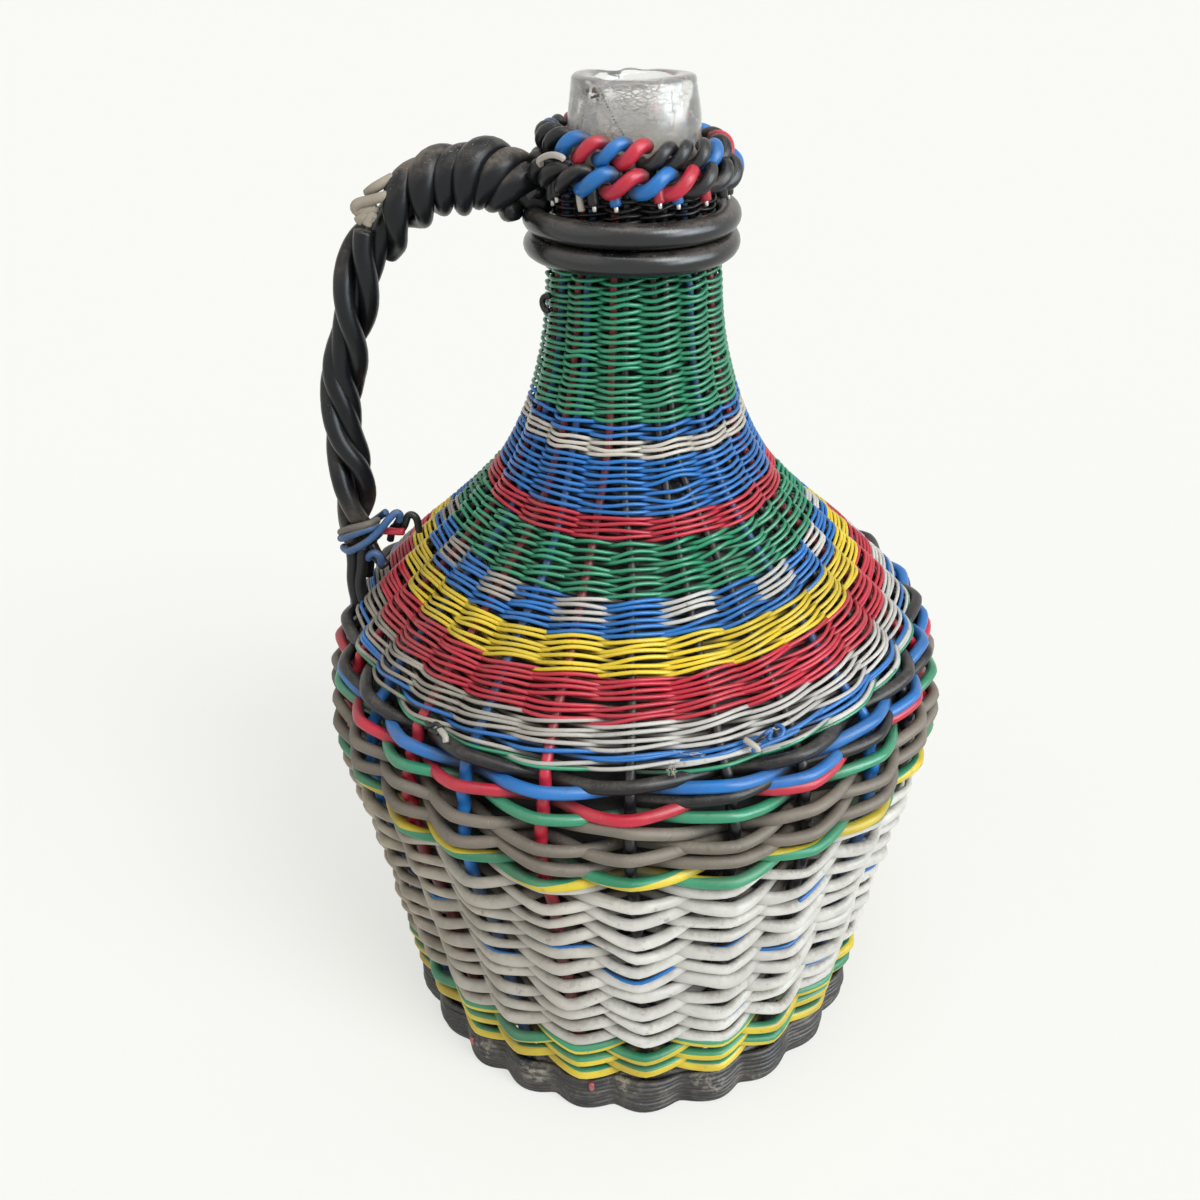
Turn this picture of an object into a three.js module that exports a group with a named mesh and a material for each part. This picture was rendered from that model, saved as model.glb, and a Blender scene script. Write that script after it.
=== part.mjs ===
// A glass demijohn in a basket woven from insulated wire, with a handle of twisted cable.
// Millimetres, +Z up. The origin is on the bottle's axis, on the face it stands on.
// The front is -Y and the handle is on -X.

import * as THREE from 'three';
import { mergeVertices } from 'three/addons/utils/BufferGeometryUtils.js';

// Clearance between pieces that touch on the real object
const GAP = 0.3;

// Glass bottle. Every drop below is measured down from the mouth
const TOTAL_HEIGHT = 340;
const GLASS_FOOT_HEIGHT = 10;
const HEEL_RADIUS = 79.6;
const HEEL_ROUND = 10;
const PUNT_DEPTH = 12;
const BELLY_RADIUS = 97;
const BELLY_HEIGHT = 136;
const SHOULDER_LOW_PULL = 56;
const SHOULDER_HIGH_PULL = 100;
const NECK_RADIUS = 19.5;
const NECK_DROP = 50;
const MOUTH_RADIUS = 18;
const MOUTH_LENGTH = 14;
const LIP_ROUND = 1.5;
const BORE_RADIUS = 10;
const GLASS_WALL = 3.5;
const GLASS_SIDES = 24;

// Upright stakes
const STAKE_COUNT = 26;
const STAKE_DIAMETER = 3.4;

// Woven wire, by the diameter of its insulation
const THIN_WIRE = 1.6;
const WALE_WIRE = 4;
const COVER_SLACK = 1.4;
const COVER_CHANGE = 16;

// Single rows of thick wire at the widest part, the lower ones further apart
const WALE_TOP_HEIGHT = 166.8;
const WALE_PITCH = 4.4;
const UPPER_WALES = 5;
const LOWER_WALE_PITCH = 5.8;

// Tops of the thin rows by colour. The shares are of the rise from the thick rows to the top of the green
const NECK_ROWS_DROP = 29;
const GREEN_DROP = 51;
const BLUE_SHARE = 0.658;
const CREAM_SHARE = 0.618;
const LOWER_BLUE_SHARE = 0.578;
const RED_SHARE = 0.455;
const LOWER_GREEN_SHARE = 0.405;
const CHECK_SHARE = 0.301;
const YELLOW_SHARE = 0.233;
const LOWER_RED_SHARE = 0.17;
const PALE_SHARE = 0.098;
const NECK_SQUEEZE = 7;

// Thick rows below the wales
const WHITE_ROW_COUNT = 21;
const EARTH_ROW_COUNT = 5;
const EARTH_ROWS_TOP = 39;
const FOOT_TOP = 18;

// Foot
const FOOT_BORDER_WIDTH = 9;
const FOOT_SCALLOP = 1.5;
const BASE_RIB_COUNT = 2;
const BASE_RIB_DEPTH = 1.5;

// Collar of two plaited rows
const COLLAR_STROKE = 7.4;
const COLLAR_TWISTS = 8;
const COLLAR_DROP = 25;
const COLLAR_INSET = 3.1;

// Neck coil
const COIL_CABLE = 7.4;
const COIL_PITCH = 7.9;
const COIL_TURNS = 1.9;
const COIL_DROP = 47.7;

// Handle
const HANDLE_CABLE = 5.6;
const HANDLE_STRANDS = 3;
const HANDLE_LAY = 72;
const HANDLE_TOP_DROP = 36.5;
const HANDLE_RISE = 14;
const HANDLE_ELBOW_REACH = 84;
const HANDLE_ELBOW_DROP = 52;
const HANDLE_PULL_OUT = 8;
const HANDLE_PULL_DOWN = 26;
const HANDLE_LEG_REACH = 99;
const HANDLE_FOOT_REACH = 95;
const WRAP_CABLE = 4.4;
const WRAP_CLEARANCE = 1;
const WRAP_STARTS = 2;
const WRAP_START = 9;
const WRAP_MARGIN = 6;
const TIE_WIRE = 2.4;
const TIE_PITCH = 3.2;
const TIE_TURNS = 2;
const TIE_RISE = 14;
const CREAM_WIRE = 4;
const CREAM_LENGTH = 16;

// Values worked out from the sizes above
const NECK_HEIGHT = TOTAL_HEIGHT - NECK_DROP;
const GREEN_TOP = TOTAL_HEIGHT - GREEN_DROP;
const COLLAR_LOWER_HEIGHT = TOTAL_HEIGHT - COLLAR_DROP;
const COIL_LOW_HEIGHT = TOTAL_HEIGHT - COIL_DROP;
const HANDLE_TOP_HEIGHT = TOTAL_HEIGHT - HANDLE_TOP_DROP;
const HANDLE_ELBOW_HEIGHT = TOTAL_HEIGHT - HANDLE_ELBOW_DROP;
const STAKE_STEP = 2 * Math.PI / STAKE_COUNT;
const STAKE_RADIUS = STAKE_DIAMETER / 2;
const THICK_STANDOFF = GAP + WALE_WIRE + COVER_SLACK + GAP + STAKE_RADIUS;
const THIN_STANDOFF = GAP + THIN_WIRE + GAP + STAKE_RADIUS;
const TIGHT_STANDOFF = GAP + STAKE_RADIUS;

// Colours
const GLASS = 0xcfd6d0;
const GREEN = 0x23845a;
const BLUE = 0x2f74c8;
const RED = 0xc63044;
const YELLOW = 0xe8cd3c;
const CREAM = 0xd0c9b8;
const PALE = 0xb9b6ae;
const BLACK = 0x2b2c30;
const GREY = 0x7a7068;
const EARTH = 0x9fc04a;

const demijohn = new THREE.Group();

// Outline of the glass

const shoulderLine = new THREE.CubicBezierCurve(
  new THREE.Vector2(BELLY_RADIUS, BELLY_HEIGHT),
  new THREE.Vector2(BELLY_RADIUS, BELLY_HEIGHT + SHOULDER_LOW_PULL),
  new THREE.Vector2(NECK_RADIUS, NECK_HEIGHT - SHOULDER_HIGH_PULL),
  new THREE.Vector2(NECK_RADIUS, NECK_HEIGHT),
);
const FINE_STEPS = 200;
const fineShoulder = shoulderLine.getPoints(FINE_STEPS);

// Radius of the glass at a height, between the heel and the neck
function glassRadius(height) {
  if (height >= NECK_HEIGHT) return NECK_RADIUS;
  if (height <= BELLY_HEIGHT) {
    const wallStart = GLASS_FOOT_HEIGHT + HEEL_ROUND;
    const share = (height - wallStart) / (BELLY_HEIGHT - wallStart);
    return HEEL_RADIUS + (BELLY_RADIUS - HEEL_RADIUS) * share;
  }
  const above = fineShoulder.findIndex((point) => point.y >= height);
  const high = fineShoulder[above];
  const low = fineShoulder[above - 1];
  return low.x + (high.x - low.x) * (height - low.y) / (high.y - low.y);
}

// A point that stands off the glass, square to its outline, at one glass height
function offGlass(height, distance) {
  const SAMPLE = 0.5;
  const slope = (glassRadius(height + SAMPLE) - glassRadius(height - SAMPLE)) / (2 * SAMPLE);
  const length = Math.hypot(1, slope);
  return new THREE.Vector2(
    glassRadius(height) + distance / length,
    height - distance * slope / length,
  );
}

// Glass height under a visible height on a layer that stands off by a distance
function heightUnder(visibleHeight, distanceAt) {
  let low = 0;
  let high = TOTAL_HEIGHT;
  for (let pass = 0; pass < 40; pass += 1) {
    const middle = (low + high) / 2;
    if (offGlass(middle, distanceAt(middle)).y < visibleHeight) low = middle;
    else high = middle;
  }
  return (low + high) / 2;
}

// Glass height reached by walking along a layer, up when the length is positive
function walk(height, length, distance) {
  const STEP = 0.25;
  let walked = 0;
  let at = height;
  while (walked < Math.abs(length)) {
    const here = offGlass(at, distance);
    at += Math.sign(length) * STEP;
    walked += here.distanceTo(offGlass(at, distance));
  }
  return at;
}

// Heights along a layer, as few as keep the straight lines between them within a tolerance of it
function stations(bottom, top, distanceAt) {
  const TOLERANCE = 0.28;
  const STEP = 0.5;
  const heights = [bottom];
  const place = (height) => offGlass(height, distanceAt(height));
  let next = bottom + STEP;
  while (next < top) {
    const start = place(heights.at(-1));
    const end = place(next);
    const chord = end.clone().sub(start);
    let sag = 0;
    for (const share of [0.25, 0.5, 0.75]) {
      const between = place(THREE.MathUtils.lerp(heights.at(-1), next, share)).sub(start);
      sag = Math.max(sag, Math.abs(between.cross(chord)) / chord.length());
    }
    if (sag > TOLERANCE) heights.push(next - STEP);
    next += STEP;
  }
  heights.push(top);
  return heights;
}

// The rows of thick wire, one below the other on the shoulder's turn
const waleStandoff = () => THICK_STANDOFF;
const firstWale = heightUnder(WALE_TOP_HEIGHT, waleStandoff);
function waleHeight(row) {
  const closeSteps = Math.min(row, UPPER_WALES - 1);
  const drop = closeSteps * WALE_PITCH + (row - closeSteps) * LOWER_WALE_PITCH;
  return walk(firstWale, -drop, THICK_STANDOFF);
}

// Distance from the glass to the middle of the stakes
function standoff(height) {
  const thinFrom = firstWale + COVER_CHANGE;
  const squeezeTo = NECK_HEIGHT + NECK_SQUEEZE / 2;
  const squeezeFrom = squeezeTo - NECK_SQUEEZE;
  const lift = THREE.MathUtils.clamp((height - firstWale) / (thinFrom - firstWale), 0, 1);
  const squeeze = THREE.MathUtils.clamp((height - squeezeFrom) / NECK_SQUEEZE, 0, 1);
  const body = THREE.MathUtils.lerp(THICK_STANDOFF, THIN_STANDOFF, lift);
  return THREE.MathUtils.lerp(body, TIGHT_STANDOFF, squeeze);
}

const coverInside = (height) => standoff(height) + STAKE_RADIUS + GAP;

// Helpers that turn geometry into closed, named pieces

function addPiece(name, geometry, color, roughness, metalness = 0) {
  geometry.deleteAttribute('normal');
  geometry.deleteAttribute('uv');
  const closed = mergeVertices(geometry, 1e-4);
  if (signedVolume(closed) < 0) turnInsideOut(closed);
  closed.computeVertexNormals();
  const material = new THREE.MeshStandardMaterial({ color, roughness, metalness });
  const mesh = new THREE.Mesh(closed, material);
  mesh.name = name;
  demijohn.add(mesh);
  return mesh;
}

function signedVolume(geometry) {
  const position = geometry.attributes.position;
  const index = geometry.index;
  const [a, b, c] = [new THREE.Vector3(), new THREE.Vector3(), new THREE.Vector3()];
  let volume = 0;
  for (let i = 0; i < index.count; i += 3) {
    a.fromBufferAttribute(position, index.getX(i));
    b.fromBufferAttribute(position, index.getX(i + 1));
    c.fromBufferAttribute(position, index.getX(i + 2));
    volume += a.dot(b.cross(c)) / 6;
  }
  return volume;
}

function turnInsideOut(geometry) {
  const index = geometry.index;
  for (let i = 0; i < index.count; i += 3) {
    const first = index.getX(i);
    index.setX(i, index.getX(i + 1));
    index.setX(i + 1, first);
  }
}

// A round of a profile about the upright axis, with azimuth 0 at the front
function revolve(profile, sides) {
  return new THREE.LatheGeometry(profile, sides).rotateX(Math.PI / 2);
}

// A smooth curve whose steps fall on its own points
class ThroughPoints extends THREE.CatmullRomCurve3 {
  constructor(points) {
    super(points, false, 'centripetal');
  }

  getUtoTmapping(share) {
    return share;
  }
}

function tube(path, diameter, sides) {
  const circle = new THREE.EllipseCurve(0, 0, diameter / 2, diameter / 2);
  const section = new THREE.Shape(circle.getPoints(sides));
  return new THREE.ExtrudeGeometry(section, { steps: path.points.length - 1, extrudePath: path });
}

// A point on the upright axis' cylinder, from a radius, an azimuth and a height
function around(radius, azimuth, height) {
  return new THREE.Vector3(radius * Math.sin(azimuth), -radius * Math.cos(azimuth), height);
}

// Least gap between a wound tube and itself, measured on points of its middle line
function leastGap(path, diameter, samples) {
  const points = path.getSpacedPoints(samples);
  const spacing = path.getLength() / samples;
  const apart = Math.ceil(2 * diameter / spacing);
  let least = Infinity;
  for (let i = 0; i < points.length; i += 1) {
    for (let j = i + apart; j < points.length; j += 1) {
      least = Math.min(least, points[i].distanceTo(points[j]));
    }
  }
  return least - diameter;
}

// A wound tube whose ends run straight for one diameter
function windingPath(points, diameter) {
  const first = points[0].clone().sub(points[1]).setLength(diameter).add(points[0]);
  const last = points.at(-1).clone().sub(points.at(-2)).setLength(diameter).add(points.at(-1));
  return new ThroughPoints([first, ...points, last]);
}

// Glass bottle

function makeGlass() {
  const CURVE_STEPS = 7;
  const foot = GLASS_FOOT_HEIGHT;
  const innerShoulder = new THREE.CubicBezierCurve(
    new THREE.Vector2(BELLY_RADIUS - GLASS_WALL, BELLY_HEIGHT),
    new THREE.Vector2(BELLY_RADIUS - GLASS_WALL, BELLY_HEIGHT + SHOULDER_LOW_PULL),
    new THREE.Vector2(BORE_RADIUS, NECK_HEIGHT - SHOULDER_HIGH_PULL),
    new THREE.Vector2(BORE_RADIUS, NECK_HEIGHT),
  );
  const heel = new THREE.EllipseCurve(
    HEEL_RADIUS - HEEL_ROUND, foot + HEEL_ROUND, HEEL_ROUND, HEEL_ROUND, -Math.PI / 2, 0,
  );
  const innerRound = HEEL_ROUND + GLASS_WALL;
  const innerHeel = new THREE.EllipseCurve(
    HEEL_RADIUS - GLASS_WALL - HEEL_ROUND, foot + GLASS_WALL + innerRound, HEEL_ROUND, innerRound,
    0, -Math.PI / 2, true,
  );
  const mouthFoot = TOTAL_HEIGHT - MOUTH_LENGTH;
  const profile = [
    new THREE.Vector2(0, foot + PUNT_DEPTH),
    new THREE.Vector2(HEEL_RADIUS / 2, foot + PUNT_DEPTH / 2),
    ...heel.getPoints(3),
    ...shoulderLine.getPoints(CURVE_STEPS),
    new THREE.Vector2(NECK_RADIUS, mouthFoot),
    new THREE.Vector2(MOUTH_RADIUS, TOTAL_HEIGHT - LIP_ROUND),
    new THREE.Vector2(MOUTH_RADIUS - LIP_ROUND, TOTAL_HEIGHT),
    new THREE.Vector2(BORE_RADIUS + LIP_ROUND, TOTAL_HEIGHT),
    new THREE.Vector2(BORE_RADIUS, TOTAL_HEIGHT - LIP_ROUND),
    ...innerShoulder.getPoints(CURVE_STEPS).reverse(),
    ...innerHeel.getPoints(3),
    new THREE.Vector2(HEEL_RADIUS / 2, foot + PUNT_DEPTH / 2 + GLASS_WALL),
    new THREE.Vector2(0, foot + PUNT_DEPTH + GLASS_WALL),
  ];
  addPiece('glass_bottle', revolve(profile, GLASS_SIDES), GLASS, 0.08);
}

// Collar heights, which the stakes and the handle meet
const stakesOutside = NECK_RADIUS + TIGHT_STANDOFF + STAKE_RADIUS;
const collarLowerRadius = stakesOutside + GAP + COLLAR_STROKE / 2;
const collarUpperRadius = collarLowerRadius - COLLAR_INSET;
const collarRise = Math.sqrt((COLLAR_STROKE + GAP) ** 2 - COLLAR_INSET ** 2);
const collarUpperHeight = COLLAR_LOWER_HEIGHT + collarRise;

// Stakes

function makeStakes() {
  const SIDES = 4;
  const letters = 'KKKBKRKBKRKBKKRBKKBKKRBRBR';
  const colors = { K: BLACK, B: BLUE, R: RED };
  const bottom = heightUnder(FOOT_TOP + GAP, standoff);
  const top = collarUpperHeight - COLLAR_STROKE / 2 - GAP;
  const places = stations(bottom, top, standoff).map((height) => offGlass(height, standoff(height)));
  for (let stake = 0; stake < STAKE_COUNT; stake += 1) {
    const points = places.map((place) => around(place.x, stake * STAKE_STEP, place.y));
    const path = new ThroughPoints(points);
    const name = `stake_${String(stake + 1).padStart(2, '0')}`;
    const color = colors[letters[stake % letters.length]];
    addPiece(name, tube(path, STAKE_DIAMETER, SIDES), color, 0.45);
  }
}

// A band of rows, drawn as ribs that bulge over alternate stakes, lower where a row passes behind one.
// The bulge and the valley between ribs are shares of the wire.
function makeBand({ name, color, top, bottom, ribs, wire, bulge, valley }) {
  const inside = stations(bottom, top, coverInside).map((height) => offGlass(height, coverInside(height)));
  const profile = [inside[0]];
  for (let point = 0; point < 2 * ribs - 1; point += 1) {
    const height = bottom + (top - bottom) * (point + 1) / (2 * ribs);
    const thickness = point % 2 === 0 ? wire * (1 - bulge) : wire * valley;
    profile.push(offGlass(height, coverInside(height) + thickness));
  }
  profile.push(...inside.reverse());
  const geometry = new THREE.LatheGeometry(profile, STAKE_COUNT);
  const position = geometry.attributes.position;
  for (let stake = 0; stake <= STAKE_COUNT; stake += 1) {
    for (let rib = 0; rib < ribs; rib += 1) {
      const vertex = stake * profile.length + 1 + 2 * rib;
      const radius = Math.hypot(position.getX(vertex), position.getZ(vertex));
      const inFront = (stake + rib) % 2 === 1 ? 1 : -1;
      const scale = 1 + inFront * wire * bulge / radius;
      position.setX(vertex, position.getX(vertex) * scale);
      position.setZ(vertex, position.getZ(vertex) * scale);
    }
  }
  addPiece(name, geometry.rotateX(Math.PI / 2), color, 0.5);
}

function makeThinRows() {
  const shape = { bulge: 0.2, valley: 0.45 };
  const shareTop = (share) => THREE.MathUtils.lerp(WALE_TOP_HEIGHT, GREEN_TOP, share);
  const lowestThin = walk(firstWale, WALE_WIRE / 2 + 2 * GAP, THICK_STANDOFF);
  const bands = [
    ['neck_rows', BLACK, TOTAL_HEIGHT - NECK_ROWS_DROP, 2],
    ['green_neck_rows', GREEN, GREEN_TOP, 7],
    ['blue_rows', BLUE, shareTop(BLUE_SHARE), 1],
    ['cream_rows', CREAM, shareTop(CREAM_SHARE), 1],
    ['lower_blue_rows', BLUE, shareTop(LOWER_BLUE_SHARE), 3],
    ['red_rows', RED, shareTop(RED_SHARE), 2],
    ['lower_green_rows', GREEN, shareTop(LOWER_GREEN_SHARE), 3],
    ['check_rows', BLUE, shareTop(CHECK_SHARE), 3],
    ['yellow_rows', YELLOW, shareTop(YELLOW_SHARE), 3],
    ['lower_red_rows', RED, shareTop(LOWER_RED_SHARE), 3],
    ['pale_rows', PALE, shareTop(PALE_SHARE), 4],
  ];
  const outside = (height) => coverInside(height) + THIN_WIRE;
  const edges = bands.map(([, , top]) => heightUnder(top, outside));
  edges.push(lowestThin);
  bands.forEach(([name, color, , ribs], band) => {
    const wire = band === 0 ? THIN_WIRE / 2 : THIN_WIRE;
    makeBand({ name, color, top: edges[band] - GAP, bottom: edges[band + 1], ribs, wire, ...shape });
  });
}

// One row of thick wire, which passes in front of one stake and behind the next
function makeWale(name, color, row) {
  const SIDES = 4;
  const STEPS = 2 * STAKE_COUNT;
  const swing = STAKE_RADIUS + WALE_WIRE / 2 + 1.5 * GAP;
  const height = waleHeight(row);
  const geometry = new THREE.TorusGeometry(1, 0.5, SIDES, STEPS);
  const position = geometry.attributes.position;
  for (let side = 0; side <= SIDES; side += 1) {
    for (let step = 0; step <= STEPS; step += 1) {
      const azimuth = 2 * Math.PI * step / STEPS;
      const turn = 2 * Math.PI * side / SIDES;
      const wave = Math.cos(azimuth * STAKE_COUNT / 2 + row * Math.PI);
      const place = offGlass(height, THICK_STANDOFF + swing * wave);
      const radius = place.x + WALE_WIRE / 2 * Math.cos(turn);
      const point = around(radius, azimuth, place.y + WALE_WIRE / 2 * Math.sin(turn));
      position.setXYZ(side * (STEPS + 1) + step, point.x, point.y, point.z);
    }
  }
  addPiece(name, geometry, color, 0.45);
}

function makeThickRows() {
  const shape = { wire: WALE_WIRE, bulge: 0.38, valley: 0.28 };
  const wales = [
    ['black_wale', BLACK], ['blue_wale', BLUE], ['lower_black_wale', BLACK], ['red_wale', RED],
    ['green_wale', GREEN], ['grey_wale', GREY], ['lower_grey_wale', GREY], ['earth_wale', EARTH],
  ];
  wales.forEach(([name, color], row) => makeWale(name, color, row));
  const whiteTop = waleHeight(wales.length - 1) - WALE_WIRE / 2 - 2 * GAP;
  const outside = (height) => coverInside(height) + WALE_WIRE;
  const earthTop = heightUnder(EARTH_ROWS_TOP, outside);
  const footTop = heightUnder(FOOT_TOP + 2 * GAP, outside);
  makeBand({
    name: 'white_rows', color: CREAM, top: whiteTop, bottom: earthTop, ribs: WHITE_ROW_COUNT, ...shape,
  });
  makeBand({
    name: 'earth_rows', color: EARTH, top: earthTop - GAP, bottom: footTop, ribs: EARTH_ROW_COUNT, ...shape,
  });
}

// Foot border, whose edge is scalloped round the stakes, and the base inside it

const footOutside = offGlass(FOOT_TOP, coverInside(FOOT_TOP)).x + WALE_WIRE / 2;
const footInside = HEEL_RADIUS - FOOT_BORDER_WIDTH;
const underGlass = GLASS_FOOT_HEIGHT - GAP;

function makeFootBorder() {
  const SIDES = 2 * STAKE_COUNT;
  const UNDERCUT = 2;
  const aroundGlass = HEEL_RADIUS + GAP;
  const profile = [
    new THREE.Vector2(footInside, 0),
    new THREE.Vector2(footOutside - UNDERCUT, 0),
    new THREE.Vector2(footOutside, FOOT_TOP / 2),
    new THREE.Vector2(footOutside - UNDERCUT, FOOT_TOP),
    new THREE.Vector2(aroundGlass, FOOT_TOP),
    new THREE.Vector2(aroundGlass, underGlass),
    new THREE.Vector2(footInside, underGlass),
    new THREE.Vector2(footInside, 0),
  ];
  const geometry = new THREE.LatheGeometry(profile, SIDES);
  const position = geometry.attributes.position;
  for (let side = 0; side <= SIDES; side += 1) {
    const reach = side % 2 === 0 ? FOOT_SCALLOP : -FOOT_SCALLOP;
    for (let point = 1; point <= 3; point += 1) {
      const vertex = side * profile.length + point;
      const scale = 1 + reach / profile[point].x;
      position.setX(vertex, position.getX(vertex) * scale);
      position.setZ(vertex, position.getZ(vertex) * scale);
    }
  }
  addPiece('foot_border', geometry.rotateX(Math.PI / 2), BLACK, 0.6);
}

function makeBase() {
  const edge = footInside - GAP;
  const profile = [new THREE.Vector2(0, 0), new THREE.Vector2(edge, 0), new THREE.Vector2(edge, underGlass)];
  for (let rib = 1; rib < 2 * BASE_RIB_COUNT; rib += 1) {
    const drop = rib % 2 === 0 ? 0 : BASE_RIB_DEPTH;
    profile.push(new THREE.Vector2(edge * (1 - rib / (2 * BASE_RIB_COUNT)), underGlass - drop));
  }
  profile.push(new THREE.Vector2(0, underGlass));
  addPiece('base_disc', revolve(profile, STAKE_COUNT), GREY, 0.7);
}

// Collar rows, each a ring of three strands laid up like a rope, so that their strokes slant

function makeCollarRow(name, color, radius, height) {
  const SIDES = 6;
  const STEPS = 60;
  const DIP = 0.72;
  const geometry = new THREE.TorusGeometry(1, 0.5, SIDES, STEPS);
  const position = geometry.attributes.position;
  for (let side = 0; side <= SIDES; side += 1) {
    for (let step = 0; step <= STEPS; step += 1) {
      const azimuth = 2 * Math.PI * step / STEPS;
      const turn = 2 * Math.PI * side / SIDES + azimuth * COLLAR_TWISTS;
      const thickness = COLLAR_STROKE / 2 * (side % 2 === 0 ? 1 : DIP);
      const point = around(radius + thickness * Math.cos(turn), azimuth, height + thickness * Math.sin(turn));
      position.setXYZ(side * (STEPS + 1) + step, point.x, point.y, point.z);
    }
  }
  addPiece(name, geometry, color, 0.45);
}

function makeCollar() {
  makeCollarRow('collar_lower_row', BLUE, collarLowerRadius, COLLAR_LOWER_HEIGHT);
  makeCollarRow('collar_upper_row', RED, collarUpperRadius, collarUpperHeight);
}

// Neck coil, which starts and ends at the handle

const coilRadius = stakesOutside + GAP + THIN_WIRE / 2 + GAP + COIL_CABLE / 2;

function makeNeckCoil() {
  const LOOP_STEPS = 24;
  const SIDES = 6;
  const points = [];
  for (let step = 0; step <= COIL_TURNS * LOOP_STEPS; step += 1) {
    const turns = step / LOOP_STEPS;
    points.push(around(coilRadius, (turns - 0.25) * 2 * Math.PI, COIL_LOW_HEIGHT + turns * COIL_PITCH));
  }
  const path = windingPath(points, COIL_CABLE);
  console.log(`neck_coil least gap to itself ${leastGap(path, COIL_CABLE, 400).toFixed(2)} mm`);
  addPiece('neck_coil', tube(path, COIL_CABLE, SIDES), BLACK, 0.4);
}

// Handle

const coreRadius = (HANDLE_CABLE + 2 * GAP) / Math.sqrt(HANDLE_STRANDS);
const coreOutside = coreRadius + HANDLE_CABLE / 2;
const handleStart = coilRadius + COIL_CABLE / 2 - 2 * GAP;

// Glass height on the shoulder at which a layer is as far from the axis as a reach
function heightAtReach(reach, distanceAt) {
  let low = firstWale;
  let high = NECK_HEIGHT;
  for (let pass = 0; pass < 40; pass += 1) {
    const middle = (low + high) / 2;
    if (offGlass(middle, distanceAt(middle)).x > reach) low = middle;
    else high = middle;
  }
  return (low + high) / 2;
}

function handlePath() {
  const outer = (height) => coverInside(height) + THIN_WIRE;
  const seat = heightAtReach(HANDLE_FOOT_REACH - coreOutside, outer);
  const footHeight = offGlass(seat, outer(seat)).y;
  const elbow = new THREE.Vector3(-HANDLE_ELBOW_REACH, 0, HANDLE_ELBOW_HEIGHT);
  const turn = new THREE.Vector3(-HANDLE_PULL_OUT, 0, -HANDLE_PULL_DOWN);
  const start = new THREE.Vector3(-handleStart, 0, HANDLE_TOP_HEIGHT);
  const foot = new THREE.Vector3(-HANDLE_FOOT_REACH, 0, footHeight);
  const kneeHeight = (HANDLE_ELBOW_HEIGHT + footHeight) / 2 - turn.x;
  const path = new THREE.CurvePath();
  path.add(new THREE.CubicBezierCurve3(
    start, start.clone().add(new THREE.Vector3(2 * turn.x, 0, HANDLE_RISE)), elbow.clone().sub(turn), elbow,
  ));
  path.add(new THREE.CubicBezierCurve3(
    elbow, elbow.clone().add(turn), new THREE.Vector3(-HANDLE_LEG_REACH, 0, kneeHeight), foot,
  ));
  return path;
}

// Points that wind round the handle's middle line between two lengths along it
function woundPoints(path, { from, to, radius, pitch, phase, loopSteps, straight = 0 }) {
  const total = path.getLength();
  const count = Math.ceil((to - from) / pitch * loopSteps);
  const points = [];
  for (let step = 0; step <= count; step += 1) {
    const along = from + (to - from) * step / count;
    const middle = path.getPointAt(along / total);
    const tangent = path.getTangentAt(along / total);
    const side = new THREE.Vector3(0, 1, 0);
    const outward = new THREE.Vector3().crossVectors(side, tangent);
    const twisted = THREE.MathUtils.clamp(along, from + straight, to - straight) - from;
    const angle = 2 * Math.PI * twisted / pitch + phase;
    points.push(middle
      .addScaledVector(outward, radius * Math.cos(angle))
      .addScaledVector(side, radius * Math.sin(angle)));
  }
  return points;
}

function makeHandle() {
  const path = handlePath();
  const total = path.getLength();
  const archLength = path.curves[0].getLength();
  makeHandleCore(path, total);
  makeHandleWraps(path, archLength);
  makeHandleTie(path, total);
  makeCreamWire(path, archLength);
}

function makeHandleCore(path, total) {
  const LOOP_STEPS = 10;
  const SIDES = 5;
  for (let strand = 0; strand < HANDLE_STRANDS; strand += 1) {
    const points = woundPoints(path, {
      from: 0, to: total, radius: coreRadius, pitch: HANDLE_LAY,
      phase: 2 * Math.PI * strand / HANDLE_STRANDS, loopSteps: LOOP_STEPS, straight: HANDLE_CABLE,
    });
    const line = new ThroughPoints(points);
    addPiece(`handle_cable_${strand + 1}`, tube(line, HANDLE_CABLE, SIDES), BLACK, 0.4);
  }
}

// Radius of a path's tightest bend between two lengths along it
function tightestBend(path, from, to) {
  const SAMPLES = 60;
  const total = path.getLength();
  const step = (to - from) / SAMPLES;
  let sharpest = 0;
  for (let sample = 0; sample < SAMPLES; sample += 1) {
    const here = path.getTangentAt((from + sample * step) / total);
    const next = path.getTangentAt((from + (sample + 1) * step) / total);
    sharpest = Math.max(sharpest, here.angleTo(next) / step);
  }
  return 1 / sharpest;
}

// The wraps' pitch leaves a clearance between them on the inner side of the tightest bend
function makeHandleWraps(path, archLength) {
  const LOOP_STEPS = 12;
  const SIDES = 5;
  const radius = coreOutside + GAP + WRAP_CABLE / 2;
  const wrapEnd = archLength - WRAP_MARGIN;
  const squeezed = 1 - radius / tightestBend(path, WRAP_START, wrapEnd);
  const pitch = WRAP_STARTS * (WRAP_CABLE + WRAP_CLEARANCE) / squeezed;
  for (let wrap = 0; wrap < WRAP_STARTS; wrap += 1) {
    const points = woundPoints(path, {
      from: WRAP_START, to: wrapEnd, radius, pitch,
      phase: 2 * Math.PI * wrap / WRAP_STARTS, loopSteps: LOOP_STEPS,
    });
    const line = windingPath(points, WRAP_CABLE);
    const name = `handle_wrap_${wrap + 1}`;
    console.log(`${name} least gap to itself ${leastGap(line, WRAP_CABLE, 400).toFixed(2)} mm`);
    addPiece(name, tube(line, WRAP_CABLE, SIDES), BLACK, 0.4);
  }
}

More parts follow.
